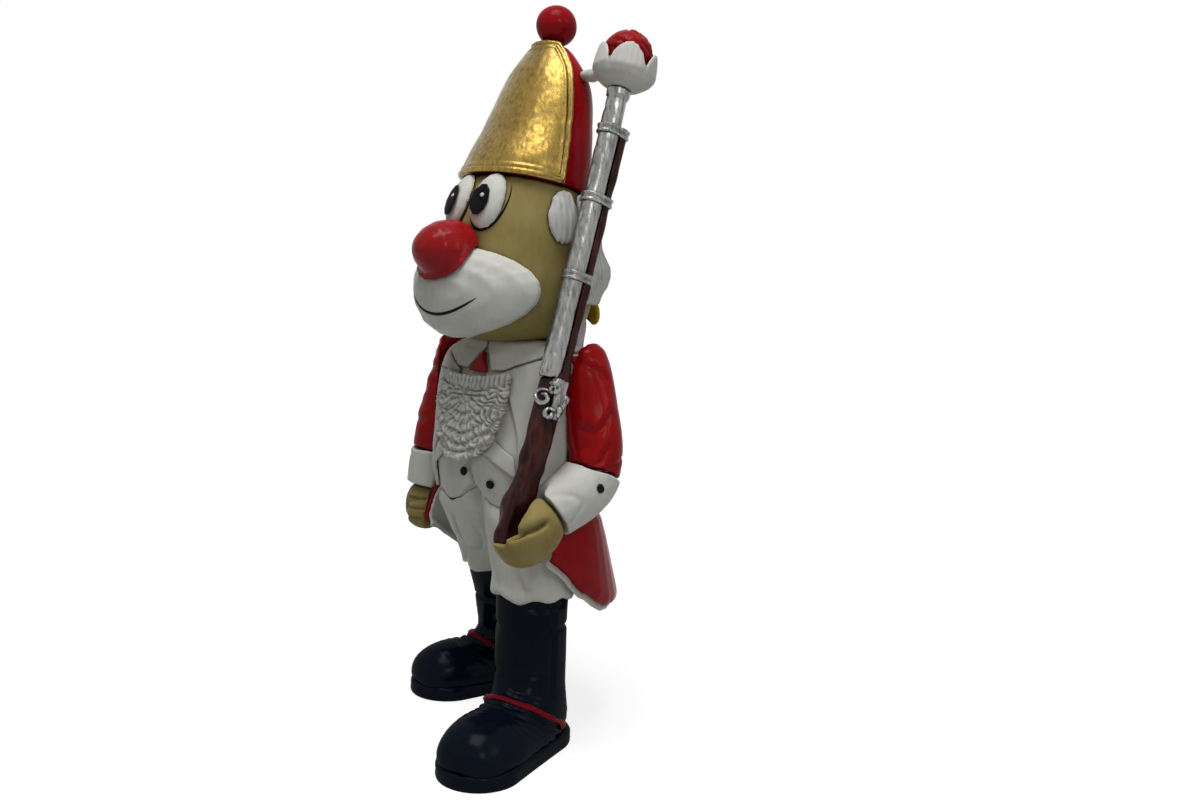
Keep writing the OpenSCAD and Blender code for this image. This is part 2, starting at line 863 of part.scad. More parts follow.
// The musket leans just clear of the lapel, at the height where the chest comes closest to it.
function chest_front(x, z) =
    let (s = curve(torso, z))
        s[4] - s[3] * dome(x / s[2]);
butt_y = min([
    for (share = [0.3:0.1:0.9])
        let (
            z = mix(waist_z, neck_z, share),
            x = butt_x + musket_slope[0] * (z - butt_z) - butt_width / 2
        )
        chest_front(x, z) - coat_out - seat - musket_reach - musket_slope[1] * (z - butt_z)
]);
butt = [butt_x, butt_y, butt_z];
left_wrist = butt + [0.56 * butt_width, 1.35 * butt_depth, 1.2 * butt_drop];
left_arm = concat(upper_arm, [
    arm_section(0.62, [11, -1.5, -0.6 * arm_length], sleeve_r),
    [0.84, each (left_wrist + sleeve_r * [0.3, 1.05, 0.75]), sleeve_r],
    [1, each left_wrist, sleeve_r * 0.95]
]);
left_cuff_key = 0.66;

function arm(side) = side == LEFT ? left_arm : right_arm;
function cuff_key(side) = side == LEFT ? left_cuff_key : right_cuff_key;
function wrist(side) =
    let (s = curve(arm(side), 1))
        [s[1], s[2], s[3]];

// Arms are drawn on the left, shaped to the coat and clear of the musket, and mirrored.
function arm_ring(side, key, grow, sides) = [
    for (p = limb_ring(arm(side), key, grow, sides))
        let (q = clear_of(tail_stack, clear_of(torso, p, coat_out + 2 * seat), tail_out + 2 * seat))
            side == LEFT ? clear_of_bar(q, butt, musket_z, musket_reach) : q
];
module sleeve(side) {
    steps = 12;
    sides = 18;
    color(red)
        on_side(side)
            difference() {
                skin([for (i = [0:steps]) arm_ring(side, cuff_key(side) * i / steps, 0, sides)]);
                shoulder_bore(LEFT);
            }
}
module left_sleeve() sleeve(LEFT);
module right_sleeve() sleeve(RIGHT);

wrist_pin_length = 8;
module wrist_bore(side) {
    pin(wrist(side), limb_heading(arm(side), 1), wrist_pin_length + 1, wire_d + pin_fit);
}
module cuff(side) {
    steps = 8;
    sides = 20;
    start = cuff_key(side) + 2 * seat / arm_length;
    color(white)
        on_side(side)
            difference() {
                skin([for (i = [0:steps]) arm_ring(side, mix(start, 1, i / steps), cuff_step, sides)]);
                wrist_bore(side);
            }
}
module left_cuff() cuff(LEFT);
module right_cuff() cuff(RIGHT);

module cuff_button(side) {
    key = mix(cuff_key(side), 1, 0.3);
    s = curve(arm(side), key);
    heading = limb_heading(arm(side), key);
    out = unit(cross(cross(heading, [1, 0.1, 0]), heading));
    on_side(side) button([s[1], s[2], s[3]] + out * (s[4] + cuff_step + seat), out);
}
module cuff_buttons() {
    color(black)
        for (side = [LEFT, RIGHT]) cuff_button(side);
}

// A closed hand swells from the wrist and rounds off at the knuckles: [share of length, share of width].
hand_shape = [
    [0, 0.7], [0.12, 0.88], [0.3, 0.99], [0.5, 1], [0.7, 0.93], [0.86, 0.74], [0.96, 0.45], [1, 0.14]
];
module fist(side, width, length) {
    sides = 18;
    heading = limb_heading(arm(side), 1);
    start = wrist(side) + heading * 2 * seat;
    hand = [for (s = hand_shape) [s[0], each (start + heading * (length * s[0])), width / 2 * s[1]]];
    skin([
        for (s = hand_shape)
            [
                for (p = limb_ring(hand, s[0], 0, sides))
                    clear_of(leg_stack(LEFT), clear_of(tail_stack, p, tail_out + 2 * seat), seat)
            ]
    ]);
}
module right_hand() {
    color(olive)
        on_side(RIGHT)
            difference() {
                fist(RIGHT, hand_width, hand_height);
                wrist_bore(RIGHT);
            }
}

// The left hand is wider, and the butt stands in a notch in its palm, open to the front and inwards.
grip_extra = 4.5;
module left_hand() {
    color(olive)
        difference() {
            fist(LEFT, hand_width + grip_extra, hand_height + grip_extra);
            wrist_bore(LEFT);
            on_musket()
                translate([-1.5 * butt_width, -1.5 * butt_depth, -seat])
                    cube([2 * butt_width + seat, 2 * butt_depth + seat, musket_length]);
        }
}

// Head

cap_y = body_y + 1.5;
head_y = body_y - 0.5;
cap_seat = 4;
brow_width = cap_width - cap_seat;
brow_depth = cap_depth - cap_seat;
cap_pin_length = 20;
function head_section(share, width, depth, y, tilt) =
    section(mix(neck_z, rim_z, share), width, depth, y, tilt);
head_stack = [
    head_section(0, neck_d - 1, neck_d - 1, neck_y, 0),
    head_section(0.04, head_width * 0.72, head_depth * 0.7, head_y - 0.5, 0),
    head_section(0.13, head_width * 0.92, head_depth * 0.92, head_y - 0.8, 0),
    head_section(0.33, head_width, head_depth, head_y, 0),
    head_section(0.58, head_width, head_depth, head_y + 0.5, 0),
    head_section(0.82, mix(head_width, brow_width, 0.4), mix(head_depth, brow_depth, 0.4),
        mix(head_y, cap_y, 0.4), cap_tilt * 0.5),
    head_section(1, brow_width, brow_depth, cap_y, cap_tilt)
];
cap_axis = [0, sin(cap_tilt), cos(cap_tilt)];
rim_middle = [0, cap_y, rim_z];

module head() {
    color(olive)
        difference() {
            stack_solid(head_stack, neck_z, rim_z, 15, 30);
            pin(neck, [0, 0, 1], neck_pin_length + 1, head_pin_d + pin_fit);
            pin(rim_middle, cap_axis, cap_pin_length + 1, head_pin_d + pin_fit);
        }
}

// Face: a white mouth patch, a ball nose that sits partly on it, and two oval eyes.
mouth_z = mix(neck_z, rim_z, 0.345);
mouth_base = 2 * seat;
mouth_edge = 0.6;
nose_z = mix(neck_z, rim_z, 0.56);
nose_depth = nose_d * 0.95;
nose_edge = 0.4;
eye_z = mix(neck_z, rim_z, 0.845);
eye_width = eye_height * 0.75;
eye_turn = 17;
eye_edge = 0.3;
eye_rise = 3;

module mouth_patch() {
    color(white)
        blister(
            head_stack, FRONT, mouth_z, mouth_width / 2, mouth_height / 2,
            mouth_base, mouth_edge, mouth_depth, 24
        );
}
// Height of the mouth patch over the head, none outside its oval
function mouth_over(turn, z) =
    let (
        across = (turn - FRONT) / degrees_per_mm(head_stack, FRONT, mouth_z) / (mouth_width / 2),
        up = (z - mouth_z) / (mouth_height / 2),
        r = norm([across, up])
    )
    r >= 1.03 ? 0 : mouth_base + mouth_edge + mouth_depth * dome(min(1, r * 0.98));
module nose() {
    sides = 18;
    across = nose_d / 2 * degrees_per_mm(head_stack, FRONT, nose_z);
    profile = concat(
        [for (r = [0.06, 0.35, 0.65, 0.85, 1]) [r, 0]],
        [for (r = [1, 0.97, 0.9, 0.78, 0.6, 0.38, 0.18, 0.06]) [r, nose_edge + nose_depth * dome(r)]]
    );
    color(red)
        skin([
            for (p = profile)
                [
                    for (j = [0:sides - 1])
                        let (
                            turn = FRONT + across * p[0] * cos(360 * j / sides),
                            z = nose_z + nose_d / 2 * p[0] * sin(360 * j / sides),
                            base = 3 * seat + mouth_over(turn, z)
                        )
                        stack_out(head_stack, turn, z, max(base + (p[1] > 0 ? nose_edge : 0), p[1]))
                ]
        ]);
}
module eye(side) {
    color(white)
        on_side(side)
            blister(
                head_stack, FRONT + eye_turn, eye_z, eye_width / 2, eye_height / 2,
                seat, eye_edge, eye_rise
            );
}
module left_eye() eye(LEFT);
module right_eye() eye(RIGHT);
module pupils() {
    base = 2 * seat + eye_edge + 0.95 * eye_rise;
    color(black)
        for (side = [LEFT, RIGHT])
            on_side(side)
                blister(
                    head_stack, FRONT + eye_turn - 2, eye_z - 1, eye_width * 0.26, eye_height * 0.26,
                    base, 0.2, 0.3, 10
                );
}

// Wig

wig_edge = 5;
wig_low = neck_z + 15;
roll_z = neck_z + 25;
roll_half = 9;
curl_z = rim_z - 10.5;
function wig_out(turn, z) =
    let (round = ease(min(1, (BACK - wig_edge - abs(turn - BACK)) / 40)))
        seat + wig + wig_roll * hump((z - roll_z) / roll_half) * round;
function wig_grid(lift) =
    let (cols = 20, rows = 12)
        [
            for (i = [0:rows])
                [
                    for (j = [0:cols])
                        let (
                            turn = mix(wig_edge, 180 - wig_edge, j / cols),
                            z = mix(wig_low, rim_z - 2, i / rows)
                        )
                        stack_out(head_stack, turn, z, lift ? wig_out(turn, z) : seat)
                ]
        ];
module wig_back() {
    color(white) sheet(wig_grid(true), wig_grid(false));
}
module curl(side) {
    color(white)
        on_side(side)
            blister(head_stack, -10, curl_z, 5.6, 8.5, seat, wig * 0.5, wig * 0.5, 14);
}
module left_curl() curl(LEFT);
module right_curl() curl(RIGHT);

queue_r = queue_d / 2;
queue_top = wig_low - 3 * seat;
queue_y = head_y + head_depth / 2 + seat + queue_r;
queue_path = [
    [0, 0, queue_y - 0.6, queue_top, queue_r * 0.8],
    [0.3, 0, queue_y - 0.4, queue_top - queue_length * 0.3, queue_r],
    [0.7, 0, queue_y - 2.5, queue_top - queue_length * 0.7, queue_r],
    [1, 0, queue_y - 5.5, queue_top - queue_length, queue_r * 0.6]
];
module queue() {
    steps = 10;
    color(white)
        skin([
            for (i = [0:steps])
                [
                    for (p = limb_ring(queue_path, i / steps, 0, 14))
                        clear_of(torso, clear_of(head_stack, p, seat), coat_out + seat)
                ]
        ]);
}
// The ribbon bow lies against the back of the queue and curves round it.
bow_half = 9.5;
bow_curl = 3.2;
bow_shape = [[0, 0.5], [0.12, 0.62], [0.4, 1], [0.7, 0.95], [0.92, 0.6], [1, 0.15]];
function bow_section(share) = curve(bow_shape, abs(share))[1];
module queue_bow() {
    thick = 1.8;
    tall = 4.2;
    at = curve(queue_path, 0.13);
    steps = 14;
    color(yellow)
        skin([
            for (i = [0:steps])
                let (
                    share = 2 * i / steps - 1,
                    size = bow_section(share),
                    back = at[2] + queue_r + seat + thick * bow_section(0),
                    middle = [share * bow_half, back - bow_curl * share * share, at[3]]
                )
                [
                    for (j = [0:11])
                        middle + [0, thick * size * cos(30 * j), tall * size * sin(30 * j)]
                ]
        ]);
}

// Cap

cap_top_d = 9;
// The crown's sections, each set back from the cap's axis
function cap_section(share, width, depth, back) =
    let (h = share * cap_height)
        [h, rim_z + h * cos(cap_tilt), width / 2, depth / 2, cap_y + h * sin(cap_tilt) + back, cap_tilt, 0];
cap = [
    cap_section(0, cap_width, cap_depth, 0),
    cap_section(0.12, cap_width - 1.2, cap_depth - 2, 0.5),
    cap_section(0.33, cap_width - 5, cap_depth - 8.5, 1.5),
    cap_section(0.57, cap_width - 10, cap_depth - 14, 2.2),
    cap_section(0.76, cap_width - 16.5, cap_depth - 19, 2.2),
    cap_section(0.92, cap_width - 29, cap_depth - 29, 1),
    cap_section(1, cap_top_d, cap_top_d, 0)
];
cap_top = rim_middle + cap_axis * cap_height;
pompom_pin_length = 10;

module cap_crown() {
    color(red)
        difference() {
            stack_solid(cap, 0, cap_height, 15, 30);
            pin(rim_middle, cap_axis, cap_pin_length + 1, head_pin_d + pin_fit);
            pin(cap_top, cap_axis, pompom_pin_length + 1, wire_d + pin_fit);
        }
}

// Turn of the plate's side seams, further forward towards the top
function plate_seam(up) = mix(13, 24, up);
plate_cols = [0, 0.025, 0.05, 0.13, 0.22, 0.31, 0.4, 0.5, 0.6, 0.69, 0.78, 0.87, 0.95, 0.975, 1];
plate_rows = [0, 0.02, 0.04, 0.14, 0.28, 0.42, 0.55, 0.68, 0.79, 0.88, 0.95, 1];
function plate_out(across, up) =
    let (side_bead = max(hump((across - 0.025) / 0.025), hump((across - 0.975) / 0.025)))
        seat + plate + plate_bead * max(side_bead, hump((up - 0.02) / 0.02));
function plate_grid(lift) = [
    for (up = plate_rows)
        let (seam = plate_seam(up))
            [
                for (across = plate_cols)
                    stack_out(
                        cap, mix(seam - 180, -seam, across), mix(seat, 0.96 * cap_height, up),
                        lift ? plate_out(across, up) : seat
                    )
            ]
];
module cap_plate() {
    color(gold) sheet(plate_grid(true), plate_grid(false));
}

pompom_r = pompom_d / 2;
pompom_sink = 0.4;
module pompom() {
    color(red)
        difference() {
            translate(cap_top + cap_axis * (pompom_r - pompom_sink)) sphere(r = pompom_r);
            dowel(cap_top, -cap_axis, pompom_r, pompom_d);
            pin(cap_top, cap_axis, pompom_pin_length + 1, wire_d + pin_fit);
        }
}

// Musket, drawn along its own axis with the butt at the origin and the barrel in front of the stock

barrel_y = -2.2;
barrel_r = barrel_d / 2;
breech = musket_length - barrel_length;
fore_end = musket_length - 12;
fore_half = barrel_r - 0.2;
breech_half = fore_half + 0.8;
flower_pin_length = 12;
musket_z = unit(musket_slope);
musket_x = unit([1, 0, 0] - musket_z * musket_z[0]);
musket_y = cross(musket_z, musket_x);
module on_musket() {
    multmatrix([
        [musket_x[0], musket_y[0], musket_z[0], butt[0]],
        [musket_x[1], musket_y[1], musket_z[1], butt[1]],
        [musket_x[2], musket_y[2], musket_z[2], butt[2]],
        [0, 0, 0, 1]
    ]) children();
}

// Sections of the stock along its length: [length, half width, front, back].
stock_sections = [
    [0, butt_width / 2 - 1, -butt_depth / 2 + 1, butt_depth / 2 - 1],
    [3, butt_width / 2 - 0.5, -butt_depth / 2 + 0.5, butt_depth / 2 - 0.5],
    [breech * 0.45, butt_width / 2, -butt_depth / 2, butt_depth / 2],
    [breech * 0.75, butt_width / 2 - 0.2, -butt_depth / 2 + 0.3, butt_depth / 2 - 0.3],
    [breech, breech_half, barrel_y - 1.6, breech_back],
    [breech + 8, fore_half, barrel_y + 0.6, fore_back],
    [fore_end, fore_half, barrel_y + 0.6, fore_back]
];
function stock_ring(length, sides) =
    let (
        s = curve(stock_sections, length),
        middle = (s[2] + s[3]) / 2,
        half = (s[3] - s[2]) / 2
    )
    [
        for (j = [0:sides - 1])
            let (
                turn = 360 * j / sides,
                c = cos(turn),
                d = sin(turn)
            )
            [s[1] * sign(c) * pow(abs(c), 0.6), middle + half * sign(d) * pow(abs(d), 0.6), length]
    ];
module musket_stock() {
    lengths = concat(
        [0, 1, 3],
        [for (i = [1:7]) mix(3, breech, i / 7)],
        [breech + 3, breech + 8],
        [for (i = [1:4]) mix(breech + 8, fore_end, i / 4)]
    );
    color(wood)
        on_musket()
            difference() {
                skin([for (length = lengths) stock_ring(length, 16)]);
                translate([0, barrel_y, breech]) cylinder(h = barrel_length, r = barrel_r + seat);
            }
}

muzzle = butt + musket_z * musket_length;
module musket_barrel() {
    ring_height = 3;
    ring_step = 0.6;
    color(silver)
        on_musket()
            translate([0, barrel_y, 0])
                difference() {
                    union() {
                        translate([0, 0, breech]) cylinder(h = barrel_length, r = barrel_r);
                        translate([0, 0, musket_length - ring_height])
                            cylinder(h = ring_height, r = barrel_r + ring_step);
                    }
                    pin([0, 0, musket_length], [0, 0, 1], flower_pin_length + 1, wire_d + pin_fit);
                }
}

band_shares = [0.33, 0.6, 0.84];
band_height = 3;
band_wall = 0.8;
module band_outline(grow) {
    translate([0, barrel_y]) circle(r = barrel_r + grow);
    translate([-fore_half - grow, barrel_y]) square([2 * (fore_half + grow), fore_back + grow - barrel_y]);
}
module barrel_bands() {
    color(silver)
        on_musket()
            for (share = band_shares)
                translate([0, 0, breech + share * barrel_length])
                    linear_extrude(band_height)
                        difference() {
                            band_outline(2 * seat + band_wall);
                            band_outline(2 * seat);
                        }
}

module musket_lock() {
    plate_length = 13;
    plate_depth = 5;
    plate_wall = 1.4;
    side_x = max(butt_width / 2, breech_half) + seat;
    color(silver)
        on_musket()
            translate([side_x, 0, breech - plate_length]) {
                translate([0, -plate_depth / 2, 0]) cube([plate_wall, plate_depth, plate_length]);
                translate([0, -plate_depth / 2 - 0.5, plate_length - 2])
                    rotate([0, 90, 0])
                        cylinder(h = plate_wall + 1.2, d = 4.4);
                translate([plate_wall, 0, 3.5]) sphere(r = 1.5);
                translate([0, -1, 1.5]) rotate([-25, 0, 0]) cube([plate_wall + 0.8, 2, 8]);
            }
}

// Flower, drawn on the musket's axis with its foot on the muzzle

flower_r = flower_d / 2;
petals = 5;
// One petal faces this way, between the front and the musket's side
first_petal = FRONT + 48;
petal_floor = flower_height * 0.2;
heart_r = flower_r * 0.68;
function petal_rim(turn) = flower_height * (0.54 + 0.46 * pow(abs(cos(petals * turn / 2)), 0.8));
// Outside and then inside of the cup: [share of radius, height, share of the petal's rim]
cup_profile = [
    [0.06, 0, 0], [0.36, 0, 0], [0.62, 0.1, 0], [0.85, 0.24, 0], [0.97, 0.42, 0], [1, 0, 0.82], [1, 0, 1],
    [0.92, 0, 1], [0.91, 0, 0.82], [0.86, 0.42, 0], [0.74, 0.32, 0], [0.5, 0.22, 0], [0.06, 0.2, 0]
];
// The flower is glued to the crown by a short strut, no higher than this share of the cap.
nub_r = 1.6;
nub_highest = 0.85;
module flower_petals() {
    sides = 30;
    middle = muzzle + musket_z * flower_height * 0.45 + musket_y * barrel_y;
    rise = min((middle[2] - rim_z) / cos(cap_tilt), cap_height * nub_highest);
    touch = stack_out(cap, 0, rise, seat + nub_r);
    strut = middle - touch;
    color(white)
        difference() {
            union() {
                on_musket()
                    translate([0, barrel_y, musket_length])
                        skin([
                            for (p = cup_profile)
                                [
                                    for (j = [0:sides - 1])
                                        let (
                                            turn = 360 * j / sides,
                                            facing = first_petal + turn,
                                            height = p[1] * flower_height + p[2] * petal_rim(turn)
                                        )
                                        [flower_r * p[0] * cos(facing), flower_r * p[0] * sin(facing), height]
                                ]
                        ]);
                translate(touch) sphere(r = nub_r);
                dowel(touch, strut, norm(strut) - flower_r * 0.8, 2 * nub_r);
            }
            on_musket()
                translate([0, barrel_y, 0])
                    pin([0, 0, musket_length], [0, 0, 1], flower_pin_length + 1, wire_d + pin_fit);
        }
}
module flower_heart() {
    color(red)
        on_musket()
            translate([0, barrel_y, musket_length])
                difference() {
                    translate([0, 0, petal_floor + seat + heart_r]) sphere(r = heart_r);
                    pin([0, 0, 0], [0, 0, 1], flower_pin_length + 1, wire_d + pin_fit);
                }
}

// Pins and wires that hold the castings together

module leg_pins() {
    color(steel)
        for (side = [LEFT, RIGHT]) pin(boot_top(side), [0, 0, 1], leg_pin_length, leg_pin_d);
}
module hip_pins() {
    color(steel)
        for (side = [LEFT, RIGHT]) pin(hip(side), [0, 0, 1], hip_pin_length, leg_pin_d);
}
module neck_pin() {
    color(steel) pin(neck, [0, 0, 1], neck_pin_length, head_pin_d);
}
module cap_pin() {
    color(steel) pin(rim_middle, cap_axis, cap_pin_length, head_pin_d);
}
module pompom_pin() {
    color(steel) pin(cap_top, cap_axis, pompom_pin_length, wire_d);
}
module shoulder_pins() {
    color(steel)
        for (side = [LEFT, RIGHT]) pin(shoulder(side), [side, 0, 0], shoulder_pin_length, wire_d);
}
module wrist_pins() {
    color(steel)
        for (side = [LEFT, RIGHT])
            on_side(side) pin(wrist(side), limb_heading(arm(side), 1), wrist_pin_length, wire_d);
}
module flower_pin() {
    color(steel)
        on_musket()
            translate([0, barrel_y, 0])
                pin([0, 0, musket_length], [0, 0, 1], flower_pin_length, wire_d);
}

// The figure over the middle of its footprint: from the left toe to the right heel, and between the cuffs

toe_front = left_step + (toe_reach - toe_width / 2) * cos(toe_out) + toe_width / 2 + welt;
heel_back = stride - left_step + heel_step * cos(toe_out) + shaft_r + welt;
axis_x = 0.17;
axis_y = (toe_front - heel_back) / 2;
translate([axis_x, axis_y, 0]) {
    left_sole();
    right_sole();
    left_boot();
    right_boot();
    left_boot_cord();
    right_boot_cord();
    left_breeches();
    right_breeches();
    waistcoat();
    coat_back();
    left_tail();
    right_tail();
    left_tail_lining();
    right_tail_lining();
    left_lapel();
    right_lapel();
    left_belt();
    right_belt();
    left_collar();
    right_collar();
    neckcloth();
    jabot();
    waistcoat_buttons();
    lapel_buttons();
    cuff_buttons();
    left_sleeve();
    right_sleeve();
    left_cuff();
    right_cuff();
    left_hand();
    right_hand();
    head();
    mouth_patch();
    nose();
    left_eye();
    right_eye();
    pupils();
    left_curl();
    right_curl();
    wig_back();
    queue();
    queue_bow();
    cap_crown();
    cap_plate();
    pompom();
    musket_stock();
    musket_barrel();
    barrel_bands();
    musket_lock();
    flower_petals();
    flower_heart();
    leg_pins();
    hip_pins();
    neck_pin();
    cap_pin();
    pompom_pin();
    shoulder_pins();
    wrist_pins();
    flower_pin();
}
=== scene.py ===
"""Looks of the toy guardsman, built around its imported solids.

Each sub-assembly is a class. It copies the surface of its solids as a fine net, works the folds, seams,
frills and tool marks of the casting into that net, and gives it a painted or a leafed finish.
Lengths are millimetres until a mesh is made, and metres in Blender.
The figure stands on z = 0 and faces -Y, and its left side is +X.
"""

import json
import logging
import math
from dataclasses import dataclass
from enum import Enum
from typing import ClassVar, Optional, Sequence, Union

import bpy
import numpy as np
from mathutils import Matrix, Vector, noise
from mathutils.bvhtree import BVHTree

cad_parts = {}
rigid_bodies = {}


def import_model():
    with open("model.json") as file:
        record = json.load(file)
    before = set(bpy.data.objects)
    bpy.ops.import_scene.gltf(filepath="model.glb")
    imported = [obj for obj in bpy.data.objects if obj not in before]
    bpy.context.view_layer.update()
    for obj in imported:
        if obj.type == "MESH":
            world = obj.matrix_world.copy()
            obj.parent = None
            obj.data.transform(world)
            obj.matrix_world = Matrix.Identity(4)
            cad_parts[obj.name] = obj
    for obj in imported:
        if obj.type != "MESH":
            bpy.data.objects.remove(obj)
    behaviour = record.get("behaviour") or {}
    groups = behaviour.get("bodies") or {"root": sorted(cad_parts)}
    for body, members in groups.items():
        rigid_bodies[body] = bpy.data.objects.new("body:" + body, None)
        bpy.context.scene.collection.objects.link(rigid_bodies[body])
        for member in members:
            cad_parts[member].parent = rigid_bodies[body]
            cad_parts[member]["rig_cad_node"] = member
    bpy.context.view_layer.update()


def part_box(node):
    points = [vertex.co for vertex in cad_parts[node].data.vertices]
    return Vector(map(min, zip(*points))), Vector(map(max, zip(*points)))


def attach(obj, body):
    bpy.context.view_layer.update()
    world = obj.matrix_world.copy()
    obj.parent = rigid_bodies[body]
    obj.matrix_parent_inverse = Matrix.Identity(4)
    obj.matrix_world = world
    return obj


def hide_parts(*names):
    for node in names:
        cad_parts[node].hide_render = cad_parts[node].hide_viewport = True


LOG = logging.getLogger("guardsman")
METRES = 0.001
BODY = "root"
BEAD_SIDES = 8
# Just over 1, so that the ends of a bead keep some thickness.
BEAD_END = 1.02
# Wider noise that breaks fold lines up: its scale, level, slope and shift.
BREAK_SCALE = 0.45
BREAK_LEVEL = 0.4
BREAK_SLOPE = 2.2
BREAK_SHIFT = 7.3
# How often the distance of a thin piece from its surface is evened out.
SETTLE_ROUNDS = 40
# How far in a point lies, in millimetres, to count as a full crease.
FULL_CREASE = 0.06
# Headings of the musket's lock: along its plate to the figure's left and back, and out of the plate.
LOCK_ALONG = np.array((0.678, 0.735, 0.0))
LOCK_OUT = np.array((0.735, -0.678, 0.0))
Point = Sequence[float]
Pair = tuple[float, float]
Number = Union[float, np.ndarray]


class Side(Enum):
    """The figure's own left and right, with the sign of x on that side."""

    LEFT = 1
    RIGHT = -1

    @property
    def word(self) -> str:
        """The side's word in a node's name."""
        return self.name.lower()

    def mirror(self, path: Sequence[Point]) -> np.ndarray:
        """A path drawn on the left, moved to this side."""
        return np.array(path, float) * (self.value, 1, 1)


class Slot(Enum):
    """The record's material slots."""

    WHITE = "white_paint"
    RED = "red_paint"
    OLIVE = "olive_paint"
    BOOT = "boot_paint"
    CORD = "cord_paint"
    BLACK = "black_paint"
    GOLD = "gold_leaf"
    SILVER = "silver_leaf"
    STOCK = "stock_paint"
    YELLOW = "yellow_paint"
    STEEL = "steel_pin"


def mixed(low: Number, high: Number, share: Number) -> Number:
    """A value between two numbers or arrays."""
    return low + (high - low) * share


def held(values: Number) -> Number:
    """Values kept between 0 and 1."""
    return np.clip(values, 0, 1)


def bell(values: Number, width: float) -> Number:
    """1 where a value is 0, falling off smoothly on both sides over a width."""
    return np.exp(-((values / width) ** 2))


def full_turn(steps: int) -> np.ndarray:
    """Even turns in degrees, once round."""
    return np.linspace(0, 360, steps, endpoint=False)


